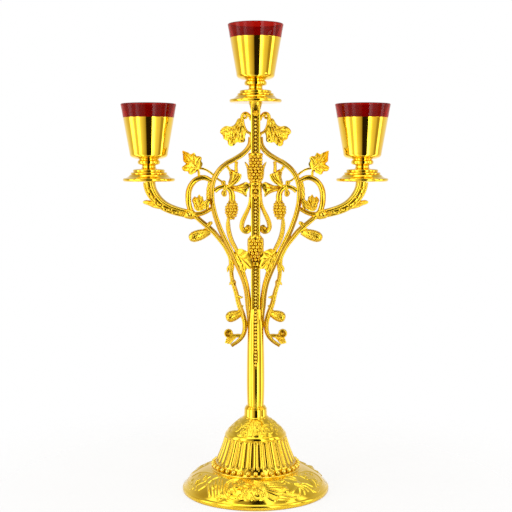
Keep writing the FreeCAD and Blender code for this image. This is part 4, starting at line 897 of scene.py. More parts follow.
upperSepalOutline = [
    (5.0, 312.6), (7.6, 314.6), (8.6, 320.0), (9.0, 325.4), (11.0, 331.6), (8.0, 329.6), (6.2, 325.0), (4.8, 318.8),
]
upperSepalVeins = [[(5.6, 313.6), (7.0, 322.0), (10.2, 330.6)]]
upperLook = dict(leafLook, rim=1.0, dome=2.4, lean=0.0)
upperSepal = leafShape(upperSepalOutline, (7.0, 320.6), upperSepalVeins, upperLook)
upperBerries = berries(clusterSpots(313.4, 336.6, 5.2, 5.5, 3.5), 1.72, 0.05)
upperCore = clusterCore((4.9, 311.0), [(5.2, 316, 0, 3), (5.4, 328, 0, 4), (5.4, 337.6, 0, 3), (4.9, 338.6, 0, 2)])
upperCollarRuns = [(7.0, 337.6, 0, 2), (7.4, 338.8, -0.3, 3), (6.6, 340.2, -0.3, 3), (4.8, 340.6, 0, 2)]
upperCollar = turned((4.8, 337.4), upperCollarRuns, 32)
upperKnotSpots = [
    (2.1, -5.0, 306.0), (-2.1, -5.0, 306.0), (0, -5.5, 302.5), (2.0, -4.8, 298.6), (-2.0, -4.8, 298.6),
    (0, -5.2, 296.2),
]
upperKnot = berries(upperKnotSpots, 1.9)
upperKnotBack = (upperKnot[0] * np.array([1, -1, 1]), [tuple(reversed(f)) for f in upperKnot[1]], upperKnot[2])
upperBaseRuns = [(6.4, 308.8, 0, 2), (6.8, 310.4, -0.3, 3), (5.6, 311.8, -0.2, 2), (4.6, 312.2, 0, 2)]
upperBase = turned((4.6, 308.4), upperBaseRuns, 28)
upperLeaves = [upperSepal, mirrorShape(upperSepal)]
upperParts = [upperBerries, upperCore] + upperLeaves + [upperCollar, upperKnot, upperKnotBack, upperBase]
makePiece("upperCluster", upperParts, castGold, ["upper_grapes_cluster"])

lowerBerries = berries(clusterSpots(234.4, 253.4, 4.6, 5.7, 3.9), 2.0, 0.05)
lowerCore = clusterCore((4.8, 230.6), [(4.8, 234, 0, 2), (5.0, 246, -0.1, 5), (5.0, 254, 0, 4), (4.8, 256.6, 0, 3)])
lowerCap = turned((4.6, 255.4), [(6.4, 255.8, 0, 2), (6.2, 257.6, -0.3, 3), (4.6, 259.0, 0, 2)], 28)
lowerSideOutline = [
    (6.4, 232.4), (8.0, 238.0), (8.2, 245.0), (8.3, 251.0), (7.8, 255.4), (6.0, 255.8), (5.0, 248.0), (5.2, 240.0),
]
lowerSideVeins = [[(6.6, 234.0), (7.0, 244.0), (8.2, 255.0)]]
lowerSideLook = dict(leafLook, rim=1.4, dome=2.6, lift=1.6, lean=0.0, paintedShade=0.2)
lowerSide = leafShape(lowerSideOutline, (6.8, 244.6), lowerSideVeins, lowerSideLook)
lowerRingRuns = [(6.4, 228.4, 0, 2), (6.8, 230.2, -0.35, 3), (6.0, 232.0, -0.2, 2), (4.6, 232.4, 0, 2)]
lowerRing = turned((4.6, 228.0), lowerRingRuns, 28)
lowerParts = [lowerBerries, lowerCore, lowerCap, lowerSide, mirrorShape(lowerSide), lowerRing]
makePiece("lowerCluster", lowerParts, castGold, ["lower_grapes_cluster"])
print("stage: clusters on the column")


# openwork of the right half, mirrored for the left; places are (across, up) in mm
lyreLine = [
    (4.4, 356.0), (5.6, 348.0), (11.3, 340.4), (20.2, 334.3), (29.0, 329.4), (37.6, 321.0), (42.3, 310.4),
    (43.3, 297.1), (41.4, 283.8), (36.9, 269.5), (32.0, 257.8), (25.0, 243.8), (19.5, 231.7), (15.0, 221.7),
    (11.1, 211.6), (8.6, 200.3), (7.4, 188.0),
]
lyreFoot = [(6.6, 178.0, 2.4), (6.4, 168.0, 1.9), (6.6, 158.0, 1.2)]  # runs out as a rib on the stem
lyreInner = [
    (13.6, 228.5, 1.8), (11.2, 219.0, 1.8), (8.2, 208.0, 1.8), (6.4, 196.0, 1.7), (5.4, 186.0, 1.5), (5.0, 178.0, 1.0),
]
lyreBars = bars([[(x, z, 2.9) for x, z in lyreLine] + lyreFoot], **vineRibs)
makePair("lyreBand", "lyre", [lyreBars, bars([lyreInner], ribs=2.0, depth=0.1)])

volutePath = [
    (4.6, 306.8, 1.6), (4.9, 296.3, 1.8), (6.0, 288.8, 2.0), (8.4, 282.6, 2.2), (11.3, 276.3, 2.5), (13.4, 270.7, 2.6),
    (13.6, 265.7, 2.5), (11.2, 262.4, 2.3), (7.8, 262.1, 2.1), (5.8, 264.6, 1.8), (6.8, 267.6, 1.6), (9.2, 267.6, 1.4),
]
voluteBar = bars([volutePath], depth=0.16, sides=28, roll=0.42, groove=0.5)
makePair("voluteScroll", "volute", [voluteBar, ballShape((9.2, 0, 265.6), 2.1, (1, 1.35, 1))])

loopLine = [
    (43.6, 312.6, 2.5), (51.2, 315.8, 2.8), (57.3, 314.8, 2.9), (62.6, 310.8, 3.0), (66.0, 304.2, 3.1),
    (66.9, 296.8, 3.1), (66.2, 288.2, 3.0), (63.2, 280.8, 2.9), (58.5, 276.0, 2.8),
]
vineLine = [
    (62.0, 279.4, 2.6), (58.5, 276.0, 2.8), (52.6, 270.8, 2.8), (46.8, 266.1, 2.9), (42.4, 262.0, 2.9),
    (38.4, 257.2, 2.8), (32.4, 249.6, 2.7), (27.6, 241.4, 2.7), (25.2, 235.6, 2.8), (24.8, 229.7, 2.6),
    (24.6, 222.3, 2.4), (23.6, 214.0, 2.4), (22.8, 211.2, 3.5), (22.0, 208.2, 2.5), (20.2, 202.3, 2.6),
    (17.1, 189.6, 2.8), (12.9, 177.9, 2.9), (11.0, 168.4, 2.8), (12.0, 160.0, 2.6), (16.0, 153.6, 2.3),
    (24.4, 147.2, 1.9),
]
vineBar = bars([vineLine], **vineRibs)
loopBar = bars([loopLine], ribs=3.0, depth=0.08, sides=24, turns=12.0)
thorns = bars([
    [(25.0, 228.4, 2.2), (27.4, 225.2, 1.8), (28.2, 221.6, 0.5)],
    [(18.8, 197.4, 2.3), (15.2, 196.2, 1.8), (12.4, 196.4, 0.4)],
    [(47.6, 268.0, 2.6), (45.0, 270.6, 2.4), (43.0, 271.4, 1.2)],
    [(25.0, 234.0, 2.4), (23.0, 226.2, 1.9), (24.8, 218.0, 1.0)],
    [(22.8, 211.0, 2.6), (25.2, 210.2, 1.6), (26.2, 208.6, 0.5)],
], ribs=2.0, depth=0.1, sides=14)
knucklePath = [(60.4, 277.9, 3.6), (62.4, 278.6, 5.0), (66.0, 279.6, 5.3), (69.0, 280.3, 5.3), (70.5, 280.7, 4.4)]
knuckle = bars([knucklePath], ribs=6.0, depth=0.1, sides=24)
makePair("vineStem", "vine", [vineBar, loopBar, thorns, knuckle])

strandLine = [(45.6, 311.4, 1.8), (47.0, 305.0, 2.0), (47.4, 297.0, 2.0), (47.6, 290.0, 1.9), (48.6, 284.4, 1.8)]
crossLine = [(43.6, 285.4, 2.0), (49.6, 282.0, 2.3), (55.0, 280.0, 2.4), (60.0, 279.6, 2.4)]
strandBars = [bars([strandLine], ribs=3.0, depth=0.1, turns=60.0), bars([crossLine], depth=0.14)]
makePair("loopStrand", "loop_strand", strandBars)

armLine = [
    (70.4, 280.7, 4.6), (76.0, 282.0, 4.8), (82.0, 283.8, 5.0), (88.7, 286.6, 5.3), (95.4, 291.2, 5.7),
    (101.0, 297.8, 6.1), (104.6, 304.6, 6.4), (106.0, 312.2, 6.6),
]
arm = bars([armLine], ribs=2.0, depth=0.05, sides=28, step=0.7)
armLook = {  # rails are (edge, thickness, reach outwards): a bold one above and a slim one below the chased trail
    "rail": 0.36, "railUp": 0.42, "railKnots": 12, "rails": [(1, 1.0, 0.74), (-1.5, 0.75, 0.62)],
    "trail": 0.3, "trailCount": 9, "trailOut": 0.93, "sway": 0.16, "boss": (73.4, 280.9), "bossReach": 1.9,
}


def alongArm(share):  # place, radius and the direction across the arm towards its inner edge
    index = share * (len(armLine) - 1)
    low = min(int(index), len(armLine) - 2)
    a, b = np.array(armLine[low]), np.array(armLine[low + 1])
    here = a + (b - a) * (index - low)
    run = (b - a)[:2] / np.linalg.norm((b - a)[:2])
    return here, np.array([-run[1], run[0]])


armRails, armTrail = [], []
bossX, bossZ = armLook["boss"]
for side in (-1, 1):
    for edge, thick, out in armLook["rails"]:
        rail = []
        for i in range(armLook["railKnots"]):
            here, inner = alongArm(i / (armLook["railKnots"] - 1) * 0.96 + 0.02)
            spot = here[:2] + inner * here[2] * armLook["railUp"] * edge
            rail.append((spot[0], spot[1], here[2] * armLook["rail"] * thick, side * here[2] * out))
        armRails.append(rail)
    for i in range(armLook["trailCount"]):
        here, inner = alongArm(0.16 + 0.8 * i / armLook["trailCount"])
        spot = here[:2] + inner * here[2] * (armLook["sway"] * (-1) ** i - armLook["trail"])
        trailSpot = (spot[0], side * (here[2] * armLook["trailOut"]), spot[1])
        armTrail.append(ballShape(trailSpot, 1.9, (1.25, 0.45, 0.8), 12))
    for i in range(6):
        a = i * math.pi / 3
        across, up = armLook["bossReach"] * math.cos(a), armLook["bossReach"] * math.sin(a)
        armTrail.append(ballShape((bossX + across, side * 4.5, bossZ + up), 1.05, (1, 0.7, 1), 10))
    armTrail.append(ballShape((bossX, side * 4.9, bossZ), 1.2, (1, 0.8, 1), 12))
armTrail.append(bars(armRails, ribs=2.0, depth=0.0, sides=12))
spurOutline = [
    (91.0, 286.4), (95.6, 284.9), (101.6, 286.0), (106.4, 288.0), (111.6, 290.0), (112.6, 292.0), (109.6, 293.6),
    (104.6, 293.2), (98.6, 293.0), (93.0, 291.0),
]
spurVeins = [
    [(92.0, 288.4), (101.0, 289.8), (111.0, 291.4)], [(97.0, 289.2), (101.0, 292.0)], [(98.0, 289.2), (103.0, 287.4)],
]
spur = leafShape(spurOutline, (100.5, 289.6), spurVeins, dict(leafLook, rim=1.3, dome=2.8, paintedShade=0.2))
makePair("sideArm", "arm", [arm, spur] + armTrail)

sideOutline = [
    (73.1, 342.5), (70.0, 341.9), (66.9, 340.7), (64.4, 339.2), (60.9, 340.7), (58.8, 337.5), (55.7, 337.3),
    (53.4, 335.7), (53.8, 332.5), (52.4, 330.0), (53.2, 326.9), (55.7, 324.6), (57.5, 323.7), (58.8, 321.3),
    (61.9, 319.8), (63.8, 318.8), (66.3, 319.8), (67.5, 321.9), (71.3, 322.3), (73.1, 324.4), (73.4, 326.3),
    (71.3, 328.2), (69.6, 329.8), (72.1, 332.5), (72.5, 337.5),
]
sideVeins = [
    [(57.4, 325.6), (63.6, 332.4), (72.4, 341.6)], [(57.8, 326.0), (64.4, 326.2), (72.0, 325.4)],
    [(57.8, 326.0), (57.0, 331.6), (54.6, 335.2)], [(58.0, 325.4), (62.2, 322.6), (64.4, 319.8)],
    [(61.4, 330.0), (61.4, 335.0), (60.9, 339.6)], [(63.6, 332.2), (67.4, 331.8), (71.0, 333.2)],
]
sideLook = dict(leafLook, pillow=0.3, lean=0.2, turn=0.42, paintedShade=0.3)
sideBlade = leafShape(sideOutline, (62.4, 329.8), sideVeins, sideLook)
sideStems = bars([
    [(57.6, 325.8, 1.3), (56.6, 321.6, 1.4), (56.2, 316.6, 1.6)],
    [(57.0, 325.4, 1.2), (51.0, 324.4, 1.2), (45.8, 321.6, 1.2), (41.9, 318.4, 1.3)],
], ribs=3.0, depth=0.1, sides=12)
makePair("sideLeaf", "side_leaf", [sideBlade, sideStems])

loopOutline = [
    (56.3, 299.4), (58.4, 296.4), (60.9, 297.2), (63.4, 293.6), (61.9, 289.4), (60.9, 285.1), (57.4, 282.7),
    (53.7, 283.2), (50.2, 284.9), (48.0, 287.8), (45.8, 291.1), (46.2, 295.0), (49.0, 294.3), (51.2, 293.1),
    (52.5, 297.2), (54.5, 297.6),
]
loopVeins = [
    [(56.6, 283.6), (55.8, 290.6), (56.3, 298.6)], [(56.4, 285.6), (59.6, 291.0), (61.4, 296.4)],
    [(56.2, 285.6), (51.6, 289.6), (47.0, 294.0)], [(56.0, 287.6), (53.6, 292.0), (52.8, 296.4)],
    [(56.4, 284.2), (51.6, 285.8), (48.6, 288.4)], [(56.6, 284.4), (59.4, 286.0), (61.2, 287.4)],
]
loopLook = dict(leafLook, lift=2.6, dome=1.4, pillow=0.8, lean=0.2)
makePair("loopLeaf", "loop_leaf", [leafShape(loopOutline, (55.4, 290.2), loopVeins, loopLook)])

scrollPath = [
    (4.2, 372.6, 1.5), (7.2, 378.2, 1.8), (10.4, 379.4, 1.9), (13.2, 376.6, 1.9), (12.8, 371.6, 1.8),
    (11.4, 366.0, 1.7), (8.8, 361.6, 1.6), (5.2, 359.2, 1.5), (4.4, 356.4, 1.3),
]
scrollCurl = [(13.2, 376.6, 1.7), (10.8, 374.8, 1.4), (8.8, 376.2, 1.2), (9.8, 378.0, 1.1)]
topOutline = [
    (16.6, 374.6), (18.3, 373.2), (20.8, 368.8), (24.5, 366.7), (29.5, 367.2), (33.9, 364.6), (35.4, 360.7),
    (32.6, 357.6), (31.6, 354.2), (28.0, 352.1), (27.2, 348.8), (24.5, 346.9), (21.2, 347.9), (18.3, 350.7),
    (14.6, 350.3), (10.6, 351.8), (10.2, 356.9), (9.4, 360.4), (11.2, 365.1), (13.6, 370.1), (14.8, 374.2),
]
topVeins = [
    [(14.6, 372.6), (20.6, 364.0), (33.6, 361.2)], [(14.0, 370.0), (20.0, 358.6), (25.2, 348.4)],
    [(12.6, 366.0), (13.8, 358.0), (12.6, 352.6)], [(21.4, 363.6), (26.4, 365.8), (30.4, 366.2)],
    [(21.6, 356.2), (26.0, 354.6), (30.0, 354.2)],
]
topLook = dict(leafLook, rings=15, ribPitch=2.9, ribHeight=0.28, dome=1.4, pillow=0.7, lean=0.18)
topBlade = leafShape(topOutline, (19.6, 360.6), topVeins, topLook)
makePair("topLeaf", "top_leaf", [topBlade, bars([scrollPath, scrollCurl], **stalkRibs)])

shootPath = [
    (27.0, 277.0, 1.5), (27.4, 269.0, 2.4), (26.4, 261.0, 2.6), (24.0, 253.4, 2.5), (20.6, 246.6, 2.3),
    (15.8, 237.4, 1.8),
]
makePair("shoot", "shoot", [bars([shootPath], depth=0.2, sides=28, roll=0.42, groove=0.7)])

risingOutline = [
    (27.4, 310.4), (25.8, 316.3), (26.5, 321.3), (24.5, 324.3), (20.8, 322.9), (17.0, 320.7), (13.8, 318.6),
    (15.4, 313.6), (19.3, 309.9), (23.3, 307.7), (26.8, 307.1),
]
risingVeins = [
    [(26.8, 309.0), (22.8, 311.6), (19.0, 315.6), (17.0, 319.6)], [(26.4, 310.6), (24.8, 316.0), (24.6, 321.6)],
]
inwardOutline = [
    (26.0, 306.8), (22.7, 308.2), (18.3, 308.3), (13.3, 310.5), (9.4, 311.7), (6.0, 309.1), (7.1, 303.8), (8.6, 301.3),
    (9.1, 296.9), (13.3, 299.6), (18.3, 301.7), (24.4, 303.2),
]
inwardVeins = [[(25.0, 305.2), (15.0, 306.4), (7.4, 306.6)], [(20.0, 304.4), (13.0, 302.2), (9.6, 298.4)]]
trumpetLook = dict(leafLook, rim=0.9, dome=2.0, pillow=0.4, veinWidth=0.65, veinDepth=1.0, paintedShade=0.4)
roundLook = dict(trumpetLook, rim=1.2, dome=1.6, corners=12, lobes=0.1, veinFoot=0.7, veinTop=0.4)


def roundPetal(cx, cz, across, up):
    outline, corners = [], roundLook["corners"]
    for a in [2 * math.pi * i / corners for i in range(corners)]:
        wave = 1 + roundLook["lobes"] * math.cos(3 * a)
        outline.append((cx + across * math.cos(a) * wave, cz + up * math.sin(a)))
    vein = [(cx, cz - up * roundLook["veinFoot"]), (cx, cz + up * roundLook["veinTop"])]
    return leafShape(outline, (cx, cz), [vein], roundLook)


flowerShapes = [
    leafShape(risingOutline, (21.6, 314.8), risingVeins, dict(trumpetLook, lift=0.6, lean=0.3)),
    leafShape(inwardOutline, (15.4, 305.2), inwardVeins, dict(trumpetLook, lift=0.6, lean=0.2)),
    roundPetal(31.9, 310.8, 2.5, 2.5), roundPetal(31.2, 300.6, 2.9, 3.7),
    ballShape((29.4, 0, 307.0), 2.6, (1.2, 1.0, 0.9)),
    bars([
        [(40.8, 302.6, 2.7), (36.4, 305.8, 2.3), (30.6, 307.6, 2.2)],
        [(19.0, 332.0, 1.9), (19.4, 327.0, 1.7), (19.2, 321.4, 2.0)],
        [(29.2, 328.8, 1.6), (26.8, 325.0, 1.5), (24.4, 321.6, 1.5)],
        [(4.2, 308.4, 1.7), (8.6, 307.6, 1.6), (12.6, 306.4, 1.5)],
        [(29.4, 306.6, 2.2), (25.6, 303.6, 2.7), (23.6, 299.4, 3.2), (23.4, 294.8, 3.4), (23.8, 291.4, 2.6)],
        [(41.6, 318.2, 1.1), (37.6, 314.6, 1.1), (32.6, 311.4, 1.2)],
        [(31.2, 303.2, 1.8), (30.2, 305.4, 2.0), (29.4, 307.0, 2.0)],
    ], ribs=3.0, depth=0.08, sides=16),
]
makePair("lilyFlower", "flower", flowerShapes)

hanging = {"centre": (23.9, 0, 283.6), "berry": 1.72, "unevenness": 0.06, "wide": 1.1, "lean": 0.06, "paintedShade": 0.6}
grapeRows = [  # (height, reach, number of berries)
    (-8.0, 2.0, 4), (-5.4, 3.6, 7), (-2.6, 4.5, 9), (0.2, 4.9, 10), (3.0, 4.7, 9), (5.8, 3.8, 7), (8.2, 2.2, 4),
]
coreRuns = [(3.4, -6.6, -0.6, 4), (4.6, -0.6, -0.6, 4), (4.4, 4.6, -0.4, 4), (2.2, 8.6, -0.8, 4), (0.6, 9.4, 0, 2)]
corePoints, coreFaces, coreHollow = turned((0.6, -9.4), coreRuns, 24)
# the core between the grapes gets painted shade
grapeCore = (corePoints * np.array([1.02, 0.94, 1]), coreFaces, coreHollow + hanging["paintedShade"])
grapeSpots = []
for row, (up, reach, count) in enumerate(grapeRows):
    for i in range(count):
        a = 2 * math.pi * (i + 0.5 * (row % 2)) / count
        across = reach * hanging["wide"] * math.cos(a) - up * hanging["lean"]
        grapeSpots.append((across, reach * math.sin(a), up))
grapeShapes = [grapeCore, berries(grapeSpots, hanging["berry"], hanging["unevenness"])]
makePair("hangingGrapes", "side_grapes", [moveShape(s, hanging["centre"]) for s in grapeShapes])

lowerOutline = [
    (20.4, 243.2), (15.6, 245.2), (11.2, 244.0), (7.2, 241.6), (4.8, 236.2), (3.2, 231.4), (5.0, 225.6), (8.6, 225.6),
    (11.2, 222.4), (15.2, 224.4), (16.4, 228.6), (18.0, 231.4), (22.2, 237.4),
]
lowerVeins = [
    [(20.6, 240.6), (12.6, 235.0), (5.4, 228.6)], [(17.0, 238.0), (13.6, 232.0), (11.4, 224.4)],
    [(16.0, 238.2), (12.6, 240.6), (9.0, 241.8)], [(12.6, 235.4), (8.6, 236.4), (5.6, 236.0)],
    [(15.2, 234.4), (14.2, 232.4), (13.8, 230.6)],
]
lowerLook = dict(leafLook, lift=3.0, dome=0.8, rim=1.3, pillow=0.4, turn=0.42, paintedShade=0.25)
makePair("lowerLeaf", "lower_leaf", [leafShape(lowerOutline, (12.6, 234.6), lowerVeins, lowerLook)])


# pitted almond buds: a club-shaped form with drilled dimples, its tip leaning forward; the dimples get painted shade
budLook = {
    "rows": 44, "columns": 60, "fullest": 0.62, "base": 0.5, "pitDepth": 0.11, "pitFrom": 0.4, "lean": 0.18,
    "paintedShade": 0.75, "ends": (0.02, 0.98), "tipCurve": 2.4, "pitsAround": 10, "pitEdge": 0.4, "pitMiddle": 0.6,
    "pitReach": 0.34,
}


def budShape(centre, facing, length, radius, pits):
    rows, columns = budLook["rows"], budLook["columns"]
    shares = np.linspace(*budLook["ends"], rows)
    angles = np.arange(columns) * 2 * math.pi / columns
    swell = budLook["base"] + (1 - budLook["base"]) * np.sin(np.clip(shares / budLook["fullest"], 0, 1) * math.pi / 2)
    tip = np.clip((shares - budLook["fullest"]) / (1 - budLook["fullest"]), 0, 1)
    reach = radius * swell * (1 - tip ** budLook["tipCurve"]) ** 0.5
    s, a = np.meshgrid(shares, angles, indexing="ij")
    around = budLook["pitsAround"]
    stagger = 0.5 * (np.floor(a / math.pi * around / 2) % 2)
    cell = np.cos(2 * math.pi * (s * pits + stagger)) * 0.5 + np.cos(a * around) * 0.5
    pitted = np.abs(s - budLook["pitMiddle"]) < budLook["pitReach"]
    dimple = np.clip((cell - budLook["pitFrom"]) / budLook["pitEdge"], 0, 1) * pitted
    r = reach[:, None] * (1 - budLook["pitDepth"] * dimple)
    along = (s - 0.5) * length
    lean = math.radians(facing)
    side = r * np.cos(a)
    x = centre[0] + along * math.sin(lean) + side * math.cos(lean)
    z = centre[1] + along * math.cos(lean) - side * math.sin(lean)
    points = np.stack([x, r * np.sin(a) - budLook["lean"] * along, z], 2).reshape(-1, 3)
    return points, tubeFaces(rows, columns), (dimple * budLook["paintedShade"]).reshape(-1)


budStem = bars([
    [(41.6, 264.6, 1.9), (45.0, 263.0, 2.0), (49.6, 260.6, 2.2), (53.0, 259.4, 1.8)],
    [(46.0, 262.6, 1.6), (48.6, 265.0, 1.4), (52.0, 264.6, 0.6)],
], **stalkRibs)
makePair("almondBud", "bud", [budShape((56.0, 258.8), 107.5, 22.6, 5.7, 7.0), budStem])
lowBudStem = bars([
    [(13.6, 183.4, 2.2), (16.0, 182.2, 2.3), (19.0, 179.6, 2.2)],
    [(12.6, 186.4, 1.7), (15.6, 187.6, 1.4), (18.4, 186.0, 0.5)],
], **stalkRibs)
makePair("lowerBud", "lower_bud", [budShape((22.2, 177.5), 108.0, 16.4, 5.6, 5.0), lowBudStem])

flowerCup = {
    "centre": (27.2, -0.8, 160.0), "scale": 1.18, "paintedShade": 0.7, "mouth": 2.2, "mouthFade": 1.2, "mouthFoot": -0.4,
}
flowerCupRuns = [
    (2.6, -2.4, -0.4, 4), (3.7, 0.4, -0.5, 4), (3.4, 2.4, -0.3, 3), (2.4, 2.6, -0.1, 2), (1.6, 0.6, 0.2, 3),
    (0.3, 0.0, 0, 2),
]
cupPoints, cupFaces = turned((0.3, -3.2), flowerCupRuns, 24)[:2]
cupX, cupY, cupZ = cupPoints.T
# painted shade inside the cup's mouth
cupHollow = np.clip((flowerCup["mouth"] - np.hypot(cupX, cupY)) * flowerCup["mouthFade"], 0, 1)
cupHollow = cupHollow * (cupZ > flowerCup["mouthFoot"])
cupPoints = np.stack([cupX, -cupZ, cupY], 1)  # mouth turned to the front
cupShape = (cupPoints * flowerCup["scale"] + np.array(flowerCup["centre"]), cupFaces, cupHollow * flowerCup["paintedShade"])
cupStem = [(12.6, 156.4, 2.0), (17.0, 157.4, 2.0), (21.6, 157.0, 2.2), (26.0, 158.8, 2.0)]
makePair("lowerFlower", "lower_flower", [
    cupShape, petal((25.6, 157.0), 18, 6.0, 1.1, 0.4, 0.4), petal((19.0, 157.0), 120, 13.0, 0.9, 0.8, 0.6),
    petal((24.6, 157.4), 76, 6.4, 1.2, 0.2, 0.4), bars([cupStem], **stalkRibs),
])
print("stage: openwork and leaves")


# slotted round-head screws that hold the arms; the slot gets painted shade
armScrew = {
    "spots": [(66.7, 279.6), (-66.7, 279.6)], "seat": -4.26, "radius": 2.7, "height": 2.0, "slot": 0.42, "paintedShade": 0.8,
    "pole": 0.04, "rows": 14, "segments": 48, "neck": -0.6, "shank": (1.5, -8.0), "slotAcross": (0.8, 0.6),
    "slotFrom": 0.45, "slotFloor": 0.4,
}


def screwShape(spot):
    radius, height = armScrew["radius"], armScrew["height"]
    turns = np.linspace(armScrew["pole"], math.pi / 2, armScrew["rows"])
    dome = [(radius * math.sin(a), height * math.cos(a)) for a in turns]
    neck, (shank, end), (cx, cy) = armScrew["neck"], armScrew["shank"], armScrew["slotAcross"]
    points, faces = lathe(dome + [(radius, neck), (shank, neck), (shank, end)], armScrew["segments"])[:2]
    cut = np.abs(points[:, 0] * cx + points[:, 1] * cy) < armScrew["slot"]
    cut = cut & (points[:, 2] > height * armScrew["slotFrom"])
    points[cut, 2] = height * armScrew["slotFloor"]
    turnedPoints = np.stack([points[:, 0] + spot[0], armScrew["seat"] - points[:, 2], points[:, 1] + spot[1]], 1)
    return turnedPoints, faces, cut * armScrew["paintedShade"]


makePiece("armScrews", [screwShape(s) for s in armScrew["spots"]], beadGold, ["arm_screws"])


# three lights: drip pan, knop, cup and red liner
lights = {  # (across, up, body)
    "left": (-106.0, 312.2, "left_glass"), "centre": (0.0, 390.0, "centre_glass"),
    "right": (106.0, 312.2, "right_glass"),
}
panRuns = [
    (24.0, 0.0, 0, 6), (25.6, 0.8, -0.35, 5), (25.8, 2.0, -0.15, 4), (24.6, 3.2, -0.35, 5), (18.8, 6.6, 0.8, 9),
    (17.4, 6.9, 0, 2), (17.0, 9.0, -0.9, 8), (15.2, 9.2, 0, 2), (14.2, 12.0, -1.1, 9), (11.4, 12.4, 0, 3),
    (8.6, 12.6, 0, 2), (3.2, 12.6, 0, 2),
]
knopRuns = [
    (8.5, 12.6, 0, 3), (6.9, 14.2, 0.4, 6), (6.8, 15.4, 0.1, 3), (7.6, 16.3, 0.15, 3), (9.6, 16.7, -0.05, 3),
    (11.0, 18.9, -0.55, 7), (9.9, 21.0, -0.5, 6), (9.6, 22.0, 0.15, 3), (3.2, 22.0, 0, 2),
]
cupRuns = [
    (10.4, 22.0, 0, 4), (15.6, 23.4, -0.35, 6), (18.9, 27.6, -1.0, 9), (25.1, 62.5, 0, 24), (25.2, 63.0, -0.05, 2),
    (24.3, 63.0, -0.15, 3), (23.9, 62.6, 0, 1), (17.6, 28.0, 0, 12), (15.0, 24.8, 0.8, 6), (12.0, 23.4, 0.3, 4),
    (3.2, 23.3, 0, 2),
]
glassRuns = [
    (14.0, 30.0, 0, 3), (17.9, 34.0, -1.2, 8), (23.5, 63.0, 0, 10), (25.1, 63.1, 0, 2), (25.3, 63.5, 0, 1),
    (27.35, 75.2, 0.1, 10), (27.2, 76.3, -0.2, 3), (26.3, 76.5, -0.2, 3), (25.5, 75.8, -0.2, 3), (21.1, 64.0, -0.3, 10),
    (15.5, 35.6, 0, 8), (12.1, 33.2, 0.9, 6), (0.3, 33.2, 0, 3),
]
lightParts = [  # (piece, node, start, runs, segments)
    ("dripPan_", "drip_pan_", (3.2, 0.0), panRuns, 200), ("cupKnop_", "cup_knop_", (3.2, 12.6), knopRuns, 112),
    ("cup_", "cup_", (3.2, 22.0), cupRuns, 160),
]
for side, (across, up, body) in lights.items():
    for piece, node, start, runs, segments in lightParts:
        form = turned(start, runs, segments, True, (across, up))
        makePiece(piece + side, [form], turnedGold, [node + side], sharp=50)
    liner = turned((0.3, 30.0), glassRuns, 128, False, (across, up))
    makePiece("glassLiner_" + side, [liner], redGlass, ["glass_" + side], body, 50)

for node in ("clamp_plate", "spring_washer", "foot_nut", "tie_rod", "cup_studs", "cup_nuts"):
    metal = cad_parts[node]
    metal.data.materials.clear()
    metal.data.materials.append(plainSteel)
print("stage: lights and fixings")


# studio: pale floor, white ground, soft lights with dark flags between them
studio = {
    "floorHalf": 1.6, "floorTone": (0.92, 0.92, 0.92, 1), "floorRoughness": 0.6, "fade": (0.16, 0.42),
    "shadowShare": 0.2, "strips": (0.84, 0.98), "warmth": (0.36, 0.8), "warmBelow": 1.2,
    "dimFrom": (-0.4, 0.7), "dimTo": (1.16, 0.6),
}


def mixShader(tree, factor, first, second):
    mix = tree.nodes.new("ShaderNodeMixShader")
    wire(tree, (factor, mix.inputs["Fac"]), (first.outputs[0], mix.inputs[1]), (second.outputs[0], mix.inputs[2]))
    return mix


def buildFloor():
    mesh = bpy.data.meshes.new("studioFloor")
    reach = studio["floorHalf"]
    corners = [(-reach, -reach, 0), (reach, -reach, 0), (reach, reach, 0), (-reach, reach, 0)]
    mesh.from_pydata(corners, [], [(0, 1, 2, 3)])
    floor = bpy.data.objects.new("studioFloor", mesh)
    scene.collection.objects.link(floor)
    material, tree, surface = newMaterial("paleFloor")
    surface.inputs["Base Color"].default_value = studio["floorTone"]
    surface.inputs["Roughness"].default_value = studio["floorRoughness"]
    glow = addNode(tree, "ShaderNodeEmission", Strength=1.0)  # for the camera alone
    clear = tree.nodes.new("ShaderNodeBsdfTransparent")
    path = tree.nodes.new("ShaderNodeLightPath")
    own = mathNode(tree, "MULTIPLY_ADD", path.outputs["Is Camera Ray"], studio["shadowShare"] - 1.0, 1.0)
    distance = addNode(tree, "ShaderNodeVectorMath", operation="LENGTH")
    tree.links.new(addNode(tree, "ShaderNodeTexCoord").outputs["Object"], distance.inputs[0])
    fade = remap(tree, distance.outputs["Value"], 0.0, 1.0, *studio["fade"], "SMOOTHSTEP")
    lit = mixShader(tree, own, glow, surface)
    final = mixShader(tree, fade, lit, clear)
    tree.links.new(final.outputs[0], tree.nodes["Material Output"].inputs["Surface"])
    mesh.materials.append(material)


